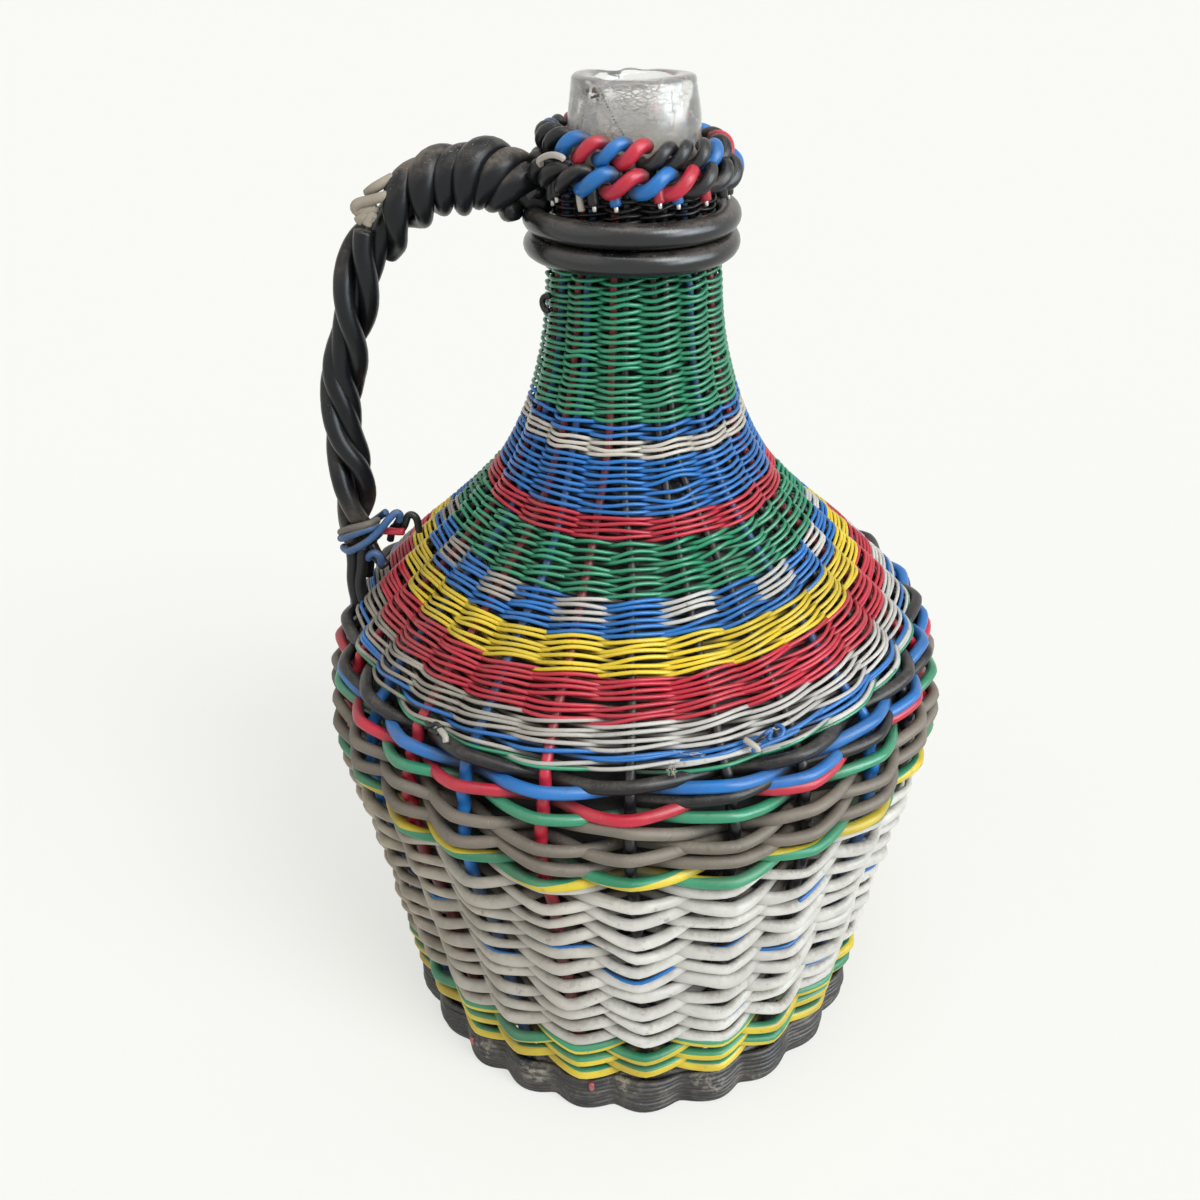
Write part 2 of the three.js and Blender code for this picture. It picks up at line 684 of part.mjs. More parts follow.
function makeHandleTie(path, total) {
  const LOOP_STEPS = 12;
  const SIDES = 5;
  const to = total - TIE_RISE;
  const points = woundPoints(path, {
    from: to - TIE_TURNS * TIE_PITCH, to, radius: coreOutside + GAP + TIE_WIRE / 2, pitch: TIE_PITCH,
    phase: 0, loopSteps: LOOP_STEPS,
  });
  const line = windingPath(points, TIE_WIRE);
  console.log(`handle_tie least gap to itself ${leastGap(line, TIE_WIRE, 400).toFixed(2)} mm`);
  addPiece('handle_tie', tube(line, TIE_WIRE, SIDES), BLUE, 0.45);
}

function makeCreamWire(path, archLength) {
  const STEPS = 4;
  const SIDES = 6;
  const from = archLength - WRAP_MARGIN + WRAP_CABLE + 2 * GAP;
  const radius = coreOutside - GAP + CREAM_WIRE / 2;
  const points = woundPoints(path, {
    from, to: from + CREAM_LENGTH, radius: -radius, pitch: 8 * CREAM_LENGTH, phase: 0, loopSteps: 8 * STEPS,
  });
  const line = new ThroughPoints(points);
  addPiece('handle_cream_wire', tube(line, CREAM_WIRE, SIDES), CREAM, 0.55);
}

makeGlass();
makeStakes();
makeThinRows();
makeThickRows();
makeFootBorder();
makeBase();
makeCollar();
makeNeckCoil();
makeHandle();

export default demijohn;
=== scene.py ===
"""Looks of the wire-covered demijohn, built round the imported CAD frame.

Lengths are in millimetres until a mesh is made. Azimuth 0 faces -Y and grows towards +X.
"""

import math

import bpy
import numpy as np
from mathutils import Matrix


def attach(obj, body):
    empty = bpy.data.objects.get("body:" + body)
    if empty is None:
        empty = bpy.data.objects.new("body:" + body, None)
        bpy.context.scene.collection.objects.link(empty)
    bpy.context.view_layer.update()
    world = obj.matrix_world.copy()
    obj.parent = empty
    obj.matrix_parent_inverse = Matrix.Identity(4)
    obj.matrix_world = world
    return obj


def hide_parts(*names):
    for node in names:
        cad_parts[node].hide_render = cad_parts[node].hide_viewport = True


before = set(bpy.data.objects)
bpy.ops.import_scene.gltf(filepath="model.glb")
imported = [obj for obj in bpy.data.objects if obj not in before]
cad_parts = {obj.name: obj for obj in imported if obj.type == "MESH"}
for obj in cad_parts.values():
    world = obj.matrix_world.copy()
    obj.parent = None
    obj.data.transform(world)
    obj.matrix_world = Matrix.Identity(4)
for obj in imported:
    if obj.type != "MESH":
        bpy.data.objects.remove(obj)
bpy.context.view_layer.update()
rng = np.random.default_rng(11)
MM = 0.001
TAU = 2 * math.pi

# Outline of the glass, from the foot up to the mouth

HEEL, BELLY, NECK, COVER_END = np.array([(78.2, 0), (97, 136), (19.5, 290), (19.5, 328)])
BELLY_PULL, NECK_PULL = np.array([(97, 192), (19.5, 190)])
OUTLINE_POINTS, OUTLINE_STEP, SLOPE_WINDOW = 400, 0.5, 25

# Heights, and there the distance of the stakes off the glass and of the cover's outside off the stakes

STAND_AT = ([95, 115, 160, 172, 186, 215, 245, 284, 292], [6.3, 7.5, 7.8, 5.3, 4.3, 4.0, 4.9, 5.0, 2.2])
COVER_AT = ([160, 176, 284, 292], [6.3, 3.6, 2.9, 2.6])


def walked(points):
    """Length along a path at each of its points."""
    return np.concatenate([[0], np.cumsum(np.linalg.norm(np.diff(points, axis=0), axis=1))])


def glass_outline():
    """A straight wall, a curve from the belly to the neck and a straight neck, in even steps."""
    share = np.linspace(0, 1, OUTLINE_POINTS)[:, None]
    rest = 1 - share
    wall = HEEL * rest + BELLY * share
    turn = BELLY * rest**3 + 3 * BELLY_PULL * share * rest**2
    turn = turn + 3 * NECK_PULL * share**2 * rest + NECK * share**3
    throat = NECK * rest + COVER_END * share
    points = np.vstack([wall, turn[1:], throat[1:]])
    length = walked(points)
    even = np.arange(0, length[-1], OUTLINE_STEP)
    return even, np.interp(even, length, points[:, 0]), np.interp(even, length, points[:, 1])


def smooth_slope(values):
    padded = np.pad(np.gradient(values, S), SLOPE_WINDOW // 2, mode="edge")
    return np.convolve(padded, np.ones(SLOPE_WINDOW) / SLOPE_WINDOW, "valid")


S, GLASS_R, GLASS_Z = glass_outline()
slope_r, slope_z = smooth_slope(GLASS_R), smooth_slope(GLASS_Z)
NORMAL_R = slope_z / np.hypot(slope_r, slope_z)
NORMAL_Z = -slope_r / np.hypot(slope_r, slope_z)
STAND = np.interp(GLASS_Z, *STAND_AT)
OUTER = STAND + np.interp(GLASS_Z, *COVER_AT)
OUTER_Z = np.maximum.accumulate(GLASS_Z + OUTER * NORMAL_Z)


def along(height):
    """Length along the outline at a height seen on the outside of the cover."""
    return np.interp(height, OUTER_Z, S)


def stand(s):
    return np.interp(s, S, STAND)


def off(s, distance):
    """Radius and height at a distance off the glass."""
    r = np.interp(s, S, GLASS_R) + distance * np.interp(s, S, NORMAL_R)
    return r, np.interp(s, S, GLASS_Z) + distance * np.interp(s, S, NORMAL_Z)


def around(r, degrees, z):
    angle = np.radians(degrees)
    return np.stack([r * np.sin(angle), -r * np.cos(angle), z + 0 * angle], axis=-1)


def sine(degrees):
    return np.sin(np.radians(degrees))


def ease(x, low, high):
    t = np.clip((x - low) / (high - low), 0, 1)
    return t * t * (3 - 2 * t)


def turned(degrees, centre):
    """Angle from a centre, between -180 and 180."""
    return (degrees - centre + 180) % 360 - 180


# Stakes: 26, spaced evenly behind and as seen in front, in pairs at the neck

COUNT = 26
SEEN_RIGHT = [-0.7, 15.8, 29.7, 45.7, 60.2]
SEEN_LEFT = [304.3, 317.5, 330.3, 344.7]
HIDDEN = COUNT - len(SEEN_RIGHT) - len(SEEN_LEFT)
BEHIND = np.linspace(SEEN_RIGHT[-1], SEEN_LEFT[0], HIDDEN + 2)[1:-1]
BODY_AZ = np.array([*SEEN_RIGHT, *BEHIND, *SEEN_LEFT])
INDEX = np.arange(COUNT)
NECK_FIRST, PAIR_HALF = -10.2, 4.2
NECK_AZ = NECK_FIRST + 720 / COUNT * ((INDEX + 1) // 2) + np.where(INDEX % 2 == 1, -PAIR_HALF, PAIR_HALF)
PAIRED_FROM, PAIRED_TO = 200, 240
DRIFT, DRIFT_TOP, DRIFT_END = 3.2, 150, 15
STAKE_COLORS = "KKKBKRKBKRKBKKRBKKBKKRBRBR"


def stake_az(s):
    """Azimuths of the stakes, and of the first one again after a full turn, at a length along the outline."""
    z = float(np.interp(s, S, GLASS_Z))
    pairing = ease(z, PAIRED_FROM, PAIRED_TO)
    drift = DRIFT * ease(-z, -DRIFT_TOP, -DRIFT_END)
    az = BODY_AZ * (1 - pairing) + NECK_AZ * pairing + drift
    return np.append(az, az[0] + 360)


def at_stake(v, s):
    """Azimuth at a stake count, which may run past one turn."""
    turns = np.floor(v / COUNT)
    return np.interp(v - turns * COUNT, np.arange(COUNT + 1), stake_az(s)) + 360 * turns


def ripple(theta, size, lowest, highest):
    """A smooth random wave round the bottle."""
    total = np.zeros_like(theta)
    count = highest - lowest + 1
    for k in range(lowest, highest + 1):
        total += np.cos(k * np.radians(theta) + rng.uniform(0, TAU))
    return size * total * math.sqrt(2 / count)


EVEN, ODD = 0.0, math.pi
STEPS = 12


def between(start, end):
    """Places between two stakes, in even steps."""
    return np.linspace(start, end, (end - start) * STEPS)


def kink(v, phase, corner):
    """In front of every second stake and behind the others, nearly straight between them."""
    return np.arcsin(corner * np.cos(math.pi * v + phase)) / math.asin(corner)


def overlap(v, phase, width):
    """In front nearly all the way, with a short dip behind every second stake."""
    away = 1 - np.abs((v + phase / math.pi) % 2 - 1)
    return 1 - 2 * np.exp(-(((1 - away) / width) ** 2))


# Tubes and meshes

CAP_WIDTH = 0.72
PATH_STEP = 0.6
KNOT_STEPS = 24


def doubled_ends(values):
    return np.concatenate([values[:1], values, values[-1:]])


def corners(rows, sides):
    """Ring and place on it of the four corners of every face between neighbouring rings."""
    i, j = np.arange(rows)[:, None], np.arange(sides)[None, :]
    return (i, j), (i, j + 1), (i + 1, j + 1), (i + 1, j)


def quads_between(rings, sides, closed=False):
    faces = [i % rings * sides + j % sides for i, j in corners(rings if closed else rings - 1, sides)]
    return np.stack(faces, axis=-1).reshape(-1, 4)


class Piece:
    """Gathers tubes and makes one mesh of them."""

    def __init__(self):
        self.verts, self.quads, self.fans, self.uvs, self.deep = [], [], [], [], []
        self.count = 0

    def tube(
        self, points, radius, sides=8, closed=False, flat=1.0, outward=None, twist=0, start=0.0,
        deep=0.0, cap=0.35,
    ):
        """A tube whose uv turns round it by twist whole turns over its length, from a start turn."""
        points = np.asarray(points, float)
        n = len(points)
        if closed:
            ahead = np.roll(points, -1, 0) - np.roll(points, 1, 0)
        else:
            ahead = np.gradient(points, axis=0)
        tangent = ahead / np.linalg.norm(ahead, axis=1, keepdims=True)
        side = np.cross(tangent, points * [1, 1, 0] if outward is None else outward)
        side /= np.linalg.norm(side, axis=1, keepdims=True)
        front = np.cross(side, tangent)
        radius, flat, shade = np.zeros(n) + radius, np.zeros(n) + flat, np.zeros(n) + deep
        length = walked(points)
        if not closed and cap:
            tip = tangent[[0, -1]] * np.array([[-1], [1]]) * radius[[0, -1], None] * cap
            points = np.vstack([points[:1] + tip[:1], points, points[-1:] + tip[1:]])
            radius = np.concatenate([radius[:1] * CAP_WIDTH, radius, radius[-1:] * CAP_WIDTH])
            front, side, flat, length, shade = map(doubled_ends, (front, side, flat, length, shade))
            n += 2
        turn = TAU * np.arange(sides) / sides
        ring = (
            points[:, None]
            + radius[:, None, None] * np.cos(turn)[None, :, None] * front[:, None]
            + (radius * flat)[:, None, None] * np.sin(turn)[None, :, None] * side[:, None]
        )
        base = self.count
        self.verts.append(ring.reshape(-1, 3))
        self.deep.append(np.repeat(shade, sides))
        self.quads.append(base + quads_between(n, sides, closed))
        span = np.append(length, length[-1] + np.linalg.norm(points[0] - points[-1]))
        roll = start + twist * span / (span[-1] if closed else max(length[-1], 1e-6))
        u = np.arange(sides + 1) / sides + roll[:, None]
        v = span[:, None] / (TAU * radius.mean()) + 0 * u
        spots = corners(n if closed else n - 1, sides)
        uv = np.stack([grid[i, j] for i, j in spots for grid in (u, v)], axis=-1)
        self.uvs.append(uv.reshape(-1, 2))
        self.count += n * sides
        if not closed:
            for end, order in ((0, -1), (n - 1, 1)):
                self.verts.append(points[end : end + 1])
                self.deep.append(shade[end : end + 1])
                loop = (base + end * sides + np.arange(sides))[::order].tolist()
                self.fans += [(a, b, self.count) for a, b in zip(loop, loop[1:] + loop[:1])]
                self.count += 1

    def weave(self, woven, radius, sides=8, **more):
        """A tube along a path that comes with how far it stands in front, which sets its painted shade and
        dirt behind.
        """
        path, wave = woven
        self.tube(path, radius, sides, deep=wave, **more)

    def make(self, name, material, replaces=()):
        mesh = bpy.data.meshes.new(name)
        faces = np.vstack(self.quads).tolist() + self.fans
        mesh.from_pydata((np.vstack(self.verts) * MM).tolist(), [], faces)
        layer = mesh.uv_layers.new(name="wire")
        uvs = np.vstack(self.uvs + [np.zeros((3 * len(self.fans), 2))])
        layer.data.foreach_set("uv", uvs.astype(np.float32).ravel())
        # How far each point stands in front, which the materials turn into painted shade and dirt on what
        # lies behind
        deep = mesh.attributes.new("deep", "FLOAT", "POINT")
        deep.data.foreach_set("value", np.concatenate(self.deep).astype(np.float32))
        mesh.shade_smooth()
        mesh.materials.append(material)
        place(name, mesh, replaces)


def add(name, data):
    obj = bpy.data.objects.new(name, data)
    bpy.context.scene.collection.objects.link(obj)
    return obj


def place(name, mesh, replaces):
    obj = add(name, mesh)
    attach(obj, "root")
    if replaces:
        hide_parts(*replaces)


def through(knots, step=PATH_STEP):
    """A smooth path through points, in even steps."""
    knots = np.asarray(knots, float)
    ends = np.vstack([2 * knots[:1] - knots[1:2], knots, 2 * knots[-1:] - knots[-2:-1]])
    t = np.linspace(0, 1, KNOT_STEPS, endpoint=False)[:, None]
    out = []
    for a, b, c, d in zip(ends[:-3], ends[1:-2], ends[2:-1], ends[3:]):
        bend = (2 * a - 5 * b + 4 * c - d) * t**2 + (3 * b - a - 3 * c + d) * t**3
        out.append(0.5 * (2 * b + (c - a) * t + bend))
    path = np.vstack([*out, knots[-1:]])
    length = walked(path)
    even = np.arange(0, length[-1], step)
    return np.stack([np.interp(even, length, path[:, k]) for k in range(3)], axis=-1)


# Materials


class Nodes:
    """Makes and links the nodes of a material or of the world."""

    def __init__(self, tree):
        self.nodes = tree.nodes
        self.links = tree.links

    def put(self, socket, value):
        if isinstance(value, bpy.types.NodeSocket):
            self.links.new(value, socket)
        elif isinstance(value, tuple) and len(value) == 3 and socket.type == "RGBA":
            socket.default_value = (*value, 1)
        else:
            socket.default_value = value

    def node(self, kind, settings=None, **inputs):
        node = self.nodes.new("ShaderNode" + kind)
        for key, value in (settings or {}).items():
            setattr(node, key, value)
        for key, value in inputs.items():
            self.put(node.inputs[key.replace("_", " ")], value)
        return node

    def math(self, operation, a, b=0.0, clamp=False):
        node = self.node("Math", {"operation": operation, "use_clamp": clamp})
        self.put(node.inputs[0], a)
        self.put(node.inputs[1], b)
        return node.outputs[0]

    def times(self, a, b, clamp=False):
        return self.math("MULTIPLY", a, b, clamp)

    def plus(self, a, b, clamp=False):
        return self.math("ADD", a, b, clamp)

    def minus(self, a, b):
        return self.math("SUBTRACT", a, b)

    def most(self, a, b, clamp=False):
        return self.math("MAXIMUM", a, b, clamp)

    def seen(self):
        """1 for what is seen straight, mirrored or through glass, 0 for light that falls on the object."""
        path = self.node("LightPath").outputs
        mirrored = self.most(path["Is Camera Ray"], path["Is Glossy Ray"])
        return self.most(mirrored, path["Is Transmission Ray"])


class Shader(Nodes):
    def __init__(self, name):
        self.material = bpy.data.materials.new(name)
        self.material.use_nodes = True
        super().__init__(self.material.node_tree)
        self.bsdf = self.nodes["Principled BSDF"]
        self.coords = self.node("TexCoord").outputs["Object"]

    def ramp(self, value, low, high, to_low=0.0, to_high=1.0):
        node = self.node(
            "MapRange", {"interpolation_type": "SMOOTHSTEP"},
            Value=value, From_Min=low, From_Max=high, To_Min=to_low, To_Max=to_high,
        )
        return node.outputs["Result"]

    def mix(self, factor, a, b):
        node = self.node("Mix", {"data_type": "RGBA"}, Factor=factor)
        self.put(node.inputs[6], a)
        self.put(node.inputs[7], b)
        return node.outputs[2]

    def noise(self, scale, detail=3.0, rough=0.55, vector=None):
        vector = vector or self.coords
        node = self.node("TexNoise", Vector=vector, Scale=scale, Detail=detail, Roughness=rough)
        return node.outputs["Fac"]

    def patches(self, scale, detail, low, high, to_low=0.0, to_high=1.0, rough=0.55):
        return self.ramp(self.noise(scale, detail, rough), low, high, to_low, to_high)

    def mottled(self, dark, light, scale=38, detail=3, low=0.32, high=0.68):
        """A colour that drifts between two tones."""
        return self.mix(self.patches(scale, detail, low, high), dark, light)

    def wire_uv(self):
        return self.node("UVMap", {"uv_map": "wire"}).outputs["UV"]

    def vector_math(self, operation, vector, values, output):
        node = self.node("VectorMath", {"operation": operation})
        self.put(node.inputs[0], vector)
        self.put(node.inputs[1], values)
        return node.outputs[output]

    def stretched(self, vector, x, y, z=1.0):
        return self.vector_math("MULTIPLY", vector, (x, y, z), "Vector")

    def distance(self, spot):
        return self.vector_math("DISTANCE", self.coords, spot, "Value")

    def axis(self, vector, name):
        return self.node("SeparateXYZ", Vector=vector).outputs[name]

    def bump(self, height, strength, distance):
        node = self.node("Bump", Strength=strength, Distance=distance, Height=height)
        self.links.new(node.outputs["Normal"], self.bsdf.inputs["Normal"])

    def set(self, **inputs):
        for key, value in inputs.items():
            self.put(self.bsdf.inputs[key.replace("_", " ")], value)
        return self.material


# Dark brown of dirt, also used as painted shade on the wires that lie behind
DIRT_AND_SHADE = (0.050, 0.041, 0.032)
DUST = (0.30, 0.265, 0.215)
GRIT = (0.52, 0.49, 0.43)


def tint(rgb, factor):
    return tuple(min(1.0, c * factor) for c in rgb)


def wire_surface(mat, base, dust, grime_and_shade, rough, dust_color=DUST, gloss=0.4, above=0.0):
    """Insulation, dusty on top, darker behind with dirt and painted shade, with dirt towards the handle,
    scuffed along its length.
    """
    blotch = mat.noise(70, 4)
    speck = mat.noise(650, 3, 0.65)
    streak = mat.noise(1.0, 3, 0.6, mat.stretched(mat.wire_uv(), 5.0, 0.35))
    up = mat.ramp(mat.axis(mat.node("NewGeometry").outputs["Normal"], "Z"), above, 0.92)
    dusty = mat.times(up, mat.ramp(blotch, 0.36, 0.64))
    dusty = mat.times(dusty, mat.ramp(speck, 0.25, 0.7, 0.35, 1.0))
    dusty = mat.times(dusty, dust, True)
    deep = mat.node("Attribute", {"attribute_name": "deep"}).outputs["Fac"]
    # Painted shade and dirt: what lies behind, by the deep attribute, is darkened towards the dirt colour
    behind = mat.times(mat.ramp(deep, 0.35, -0.75), grime_and_shade)
    spots = mat.patches(260, 5, 0.58, 0.74, 0.0, grime_and_shade * 0.55, 0.7)
    worn = mat.ramp(streak, 0.58, 0.75, 0.0, grime_and_shade * 0.35)
    handle_side = mat.ramp(mat.axis(mat.coords, "X"), 0.0, -0.10, 0.0, grime_and_shade * 0.55)
    film = mat.times(handle_side, mat.ramp(blotch, 0.3, 0.7, 0.3, 1.0))
    # All darkening together: dirt spots, wear, the film towards the handle, and the painted shade and dirt
    # behind
    dirt_and_shade = mat.most(mat.most(behind, spots), mat.most(worn, film), True)
    color = mat.mix(dirt_and_shade, base, DIRT_AND_SHADE)
    color = mat.mix(dusty, color, dust_color)
    grit = mat.times(mat.patches(1500, 2, 0.63, 0.73), up)
    color = mat.mix(mat.times(grit, min(0.4, 0.7 * dust)), color, GRIT)
    mat.bump(mat.plus(speck, mat.times(streak, 0.6)), 0.14, 0.0004)
    roughness = mat.plus(rough, mat.times(dusty, 0.3))
    roughness = mat.plus(roughness, mat.times(dirt_and_shade, 0.25), True)
    return mat.set(Base_Color=color, Roughness=roughness, Specular_IOR_Level=gloss)


def wire(name, rgb, dust=0.35, grime_and_shade=0.75, rough=0.31, gloss=0.42):
    mat = Shader(name)
    base = mat.mottled(tint(rgb, 0.82), tint(rgb, 1.12))
    return wire_surface(mat, base, dust, grime_and_shade, rough, DUST, gloss)


def earth_wire(name):
    """Two stripes along the wire, the yellow one narrower."""
    mat = Shader(name)
    u = mat.axis(mat.wire_uv(), "X")
    stripe = mat.math("SINE", mat.times(u, TAU))
    split = mat.ramp(stripe, 0.26, 0.36)
    tone = mat.patches(45, 3, 0.3, 0.7)
    green = mat.mix(tone, (0.023, 0.208, 0.102), (0.048, 0.325, 0.172))
    yellow = mat.mix(tone, (0.54, 0.40, 0.025), (0.76, 0.60, 0.042))
    return wire_surface(mat, mat.mix(split, green, yellow), 0.25, 0.8, 0.38)


def white_wire(name, clean, soiled, from_x, to_x, dust, dust_color):
    """Dirty white insulation, browner towards the handle side and clean on the other."""
    mat = Shader(name)
    x = mat.axis(mat.coords, "X")
    brown = mat.ramp(mat.plus(x, mat.times(mat.noise(22, 3), 0.06)), from_x, to_x)
    fresh = mat.mottled(clean, tint(clean, 1.3), 60, 4, 0.3, 0.7)
    dull = mat.mottled(soiled, tint(soiled, 1.55), 80, 4, 0.35, 0.65)
    return wire_surface(mat, mat.mix(brown, fresh, dull), dust, 0.9, 0.42, dust_color)


BLACK = wire("black_insulation", (0.009, 0.0095, 0.0115), dust=0.22, grime_and_shade=0.26, rough=0.32, gloss=0.34)
DARK = wire("dark_grey_insulation", (0.015, 0.016, 0.019), dust=0.34, grime_and_shade=0.34, rough=0.32, gloss=0.40)
BLUE = wire("blue_insulation", (0.015, 0.172, 0.52), dust=0.16)
RED = wire("red_insulation", (0.54, 0.021, 0.048), dust=0.16)
GREEN = wire("green_insulation", (0.016, 0.270, 0.135), dust=0.18, rough=0.28, gloss=0.6)
YELLOW = wire("yellow_insulation", (0.80, 0.60, 0.035), dust=0.16)
CREAM = wire("cream_insulation", (0.62, 0.58, 0.51), dust=0.28)
PALE = white_wire("pale_insulation", (0.53, 0.52, 0.49), (0.27, 0.245, 0.205), 0.045, -0.045, 0.24, DUST)
GREY = wire("grey_brown_insulation", (0.185, 0.158, 0.127), dust=0.45, grime_and_shade=0.85, rough=0.5)
EARTH = earth_wire("earth_insulation")
SOIL = (0.20, 0.165, 0.125)
WHITE = white_wire("white_insulation", (0.57, 0.56, 0.525), (0.30, 0.258, 0.195), 0.040, -0.060, 0.60, SOIL)
SHEATH_DUST = (0.165, 0.140, 0.112)


def cable_sheath(name, dust, rough, gloss):
    """Black sheath, dusty on top and where the handle is tied to the cover."""
    mat = Shader(name)
    base = mat.mottled((0.0045, 0.0051, 0.0064), (0.0085, 0.0096, 0.0120))
    foot = mat.ramp(mat.axis(mat.coords, "Z"), 0.214, 0.194)
    foot = mat.times(foot, mat.patches(130, 4, 0.35, 0.65, 0.15, 0.75))
    base = mat.mix(foot, base, SHEATH_DUST)
    return wire_surface(mat, base, dust, 0.05, rough, SHEATH_DUST, gloss, 0.25)


CABLE = cable_sheath("cable_sheath", 1.3, 0.31, 0.27)
COIL = cable_sheath("coil_sheath", 0.50, 0.24, 0.58)
FOOT_DUST = (0.17, 0.15, 0.122)
FLUFF = (0.40, 0.355, 0.285)
FLUFF_PLACES = [
    ((0.024, -0.0905, 0.0140), 0.0075), ((0.030, -0.0875, 0.0095), 0.0050),
    ((-0.004, -0.0915, 0.0150), 0.0080), ((-0.036, -0.0835, 0.0125), 0.0080),
    ((-0.056, -0.0725, 0.0120), 0.0070),
]


def foot_sheath(name):
    """Black insulation with patches and clumps of dust that cling to it."""
    mat = Shader(name)
    base = mat.mottled((0.0145, 0.015, 0.017), (0.021, 0.0215, 0.0245))
    broken = mat.patches(420, 4, 0.36, 0.60)
    patches = mat.times(mat.patches(75, 5, 0.50, 0.66, 0.0, 0.62, 0.72), broken)
    base = mat.mix(patches, base, FOOT_DUST)
    torn = mat.patches(330, 5, 0.47, 0.60, rough=0.75)
    for spot, reach in FLUFF_PLACES:
        clump = mat.ramp(mat.distance(spot), reach, 0.3 * reach, 0.0, 0.75)
        base = mat.mix(mat.times(clump, torn), base, FLUFF)
    return wire_surface(mat, base, 0.60, 0.30, 0.38, FOOT_DUST, 0.42)


FOOT = foot_sheath("foot_sheath")


def plain_dirt(name, low, high):
    """Matt dirt or fibre with an uneven tone."""
    mat = Shader(name)
    return mat.set(Base_Color=mat.mix(mat.noise(500, 4), low, high), Roughness=0.85)


CRACK = plain_dirt("crack_dirt", (0.055, 0.042, 0.030), (0.20, 0.165, 0.125))
FIBRE = plain_dirt("fibre", (0.30, 0.265, 0.215), (0.62, 0.58, 0.51))
FRAYED = wire("frayed_cream", (0.50, 0.44, 0.35), dust=0.7, grime_and_shade=0.9, rough=0.6)
FADED = wire("faded_red", (0.46, 0.10, 0.12), dust=0.5)
TIE_BLUE = wire("dusty_blue", (0.045, 0.150, 0.37), dust=0.6, grime_and_shade=0.85, rough=0.5)


def metal_tip(name):
    mat = Shader(name)
    tone = mat.mix(mat.noise(300, 3), (0.42, 0.40, 0.37), (0.72, 0.70, 0.66))
    rough = mat.patches(500, 3, 0.3, 0.7, 0.3, 0.5)
    return mat.set(Base_Color=tone, Metallic=0.85, Roughness=rough)


TIP = metal_tip("bare_wire")
SHADES = {
    "K": (BLACK, "black"), "D": (DARK, "dark"), "B": (BLUE, "blue"), "R": (RED, "red"), "C": (CREAM, "cream"),
}

# Rows of thick wire at the widest part: colour, height, stakes it passes in front of, radius, rise to +X

WALES = [
    ("black", 166.8, EVEN, 2.15, 1.4), ("blue", 163.2, ODD, 2.0, 2.2), ("red", 158.2, EVEN, 1.9, 0.7),
    ("green", 155.0, ODD, 1.85, -0.3), ("grey", 149.2, EVEN, 1.95, 0.0), ("grey", 145.4, ODD, 1.9, 0.0),
    ("lower_grey", 141.8, EVEN, 1.95, 0.0), ("lower_grey", 137.8, ODD, 2.0, 0.0),
]

# Stakes

STAKE_PUSH = 0.9
STAKE_FOOT, STAKE_TOP, STAKE_STEP = 9, 318, 1.6
STAKE_SWAY, SWAY_RATE = 0.25, 2.4
STAKE_RADIUS = ([150, 172, 250], [2.05, 1.55, 1.2])
# Depth of the stakes by height: low below and above the thick rows, where rows cover them, which gives
# painted shade and dirt there
STAKE_DEEP = ([112, 132, 162, 172], [-0.75, 0.3, 0.3, -0.4])
PUSHED_TOP, PUSHED_END = 173.5, 134


def pushed(s, i):
    """How far a stake is pushed out where a thick row passes behind it, and in where one passes in front."""
    places = along(np.array([PUSHED_TOP] + [w[1] for w in WALES] + [PUSHED_END]))
    sides = [0] + [1 if (i % 2 == 0) == (w[2] == EVEN) else -1 for w in WALES] + [0]
    return -STAKE_PUSH * np.interp(s, places[::-1], sides[::-1])


def make_stakes():
    s = np.arange(along(STAKE_FOOT), along(STAKE_TOP), STAKE_STEP)
    z = np.interp(s, S, GLASS_Z)
    radius = np.interp(z, *STAKE_RADIUS)
    hidden = np.interp(z, *STAKE_DEEP)
    azimuths = np.array([stake_az(x)[:COUNT] for x in s])
    for letter in "KBR":
        material, color = SHADES[letter]
        piece = Piece()
        nodes = []
        for i, c in enumerate(STAKE_COLORS):
            if c != letter:
                continue
            sway = ripple(s * SWAY_RATE, STAKE_SWAY, 1, 4)
            r, height = off(s, stand(s) + pushed(s, i))
            piece.tube(around(r, azimuths[:, i] + sway, height), radius, 10, deep=hidden)
            nodes.append(f"stake_{i + 1:02d}")
        piece.make(f"stakes_{color}", material, nodes)


make_stakes()

# Thin rows: two wires per row, which cross between the stakes

NECK_WIRE, NECK_SWING, NECK_SQUARE = 0.61, 2.6, 1.7
THIN_WIRE, THIN_SWING, THIN_CORNER = 0.64, 3.1, 0.86

# Over pairs of stakes or not: turns until a wire closes, steps per stake, slide, unevenness, swing

TWINE = {True: (2, 6, 0.52, 0.22, NECK_SWING), False: (1, STEPS, 0.7, 0.36, THIN_SWING)}

# Places where rows are pushed apart: azimuth, height, by how much

SPREAD_PLACES = [
    (17.6, 229, 1.5), (21, 251, 0.8), (-33, 262, 0.7), (20, 192.3, 1.0), (-14, 183, 0.9), (38, 185, 0.8),
    (-40, 190, 0.8), (150, 258, 0.9), (205, 229, 1.2), (-110, 186, 1.0), (112, 191, 1.0), (170, 184, 0.8),
    (-150, 208, 0.9), (78, 211, 0.8),
]
SPREAD_WIDE, SPREAD_HIGH, SPREAD_EDGE = 8, 5, 0.8
TILT = ([135, 163, 190, 208, 226], [0, 0.9, 1.5, 0.6, 0])


def spread(s, theta):
    """Rows pushed apart at a few places, so that the stakes show."""
    total = np.zeros_like(theta)
    for az, height, size in SPREAD_PLACES:
        gap = s - along(height)
        fade = np.exp(-((turned(theta, az) / SPREAD_WIDE) ** 2) - (gap / SPREAD_HIGH) ** 2)
        total += size * math.tanh(gap / SPREAD_EDGE) * fade
    return total


def tilt(s, theta):
    """Rows on the shoulder climb towards +X."""
    return np.interp(np.interp(s, S, OUTER_Z), *TILT) * sine(theta)


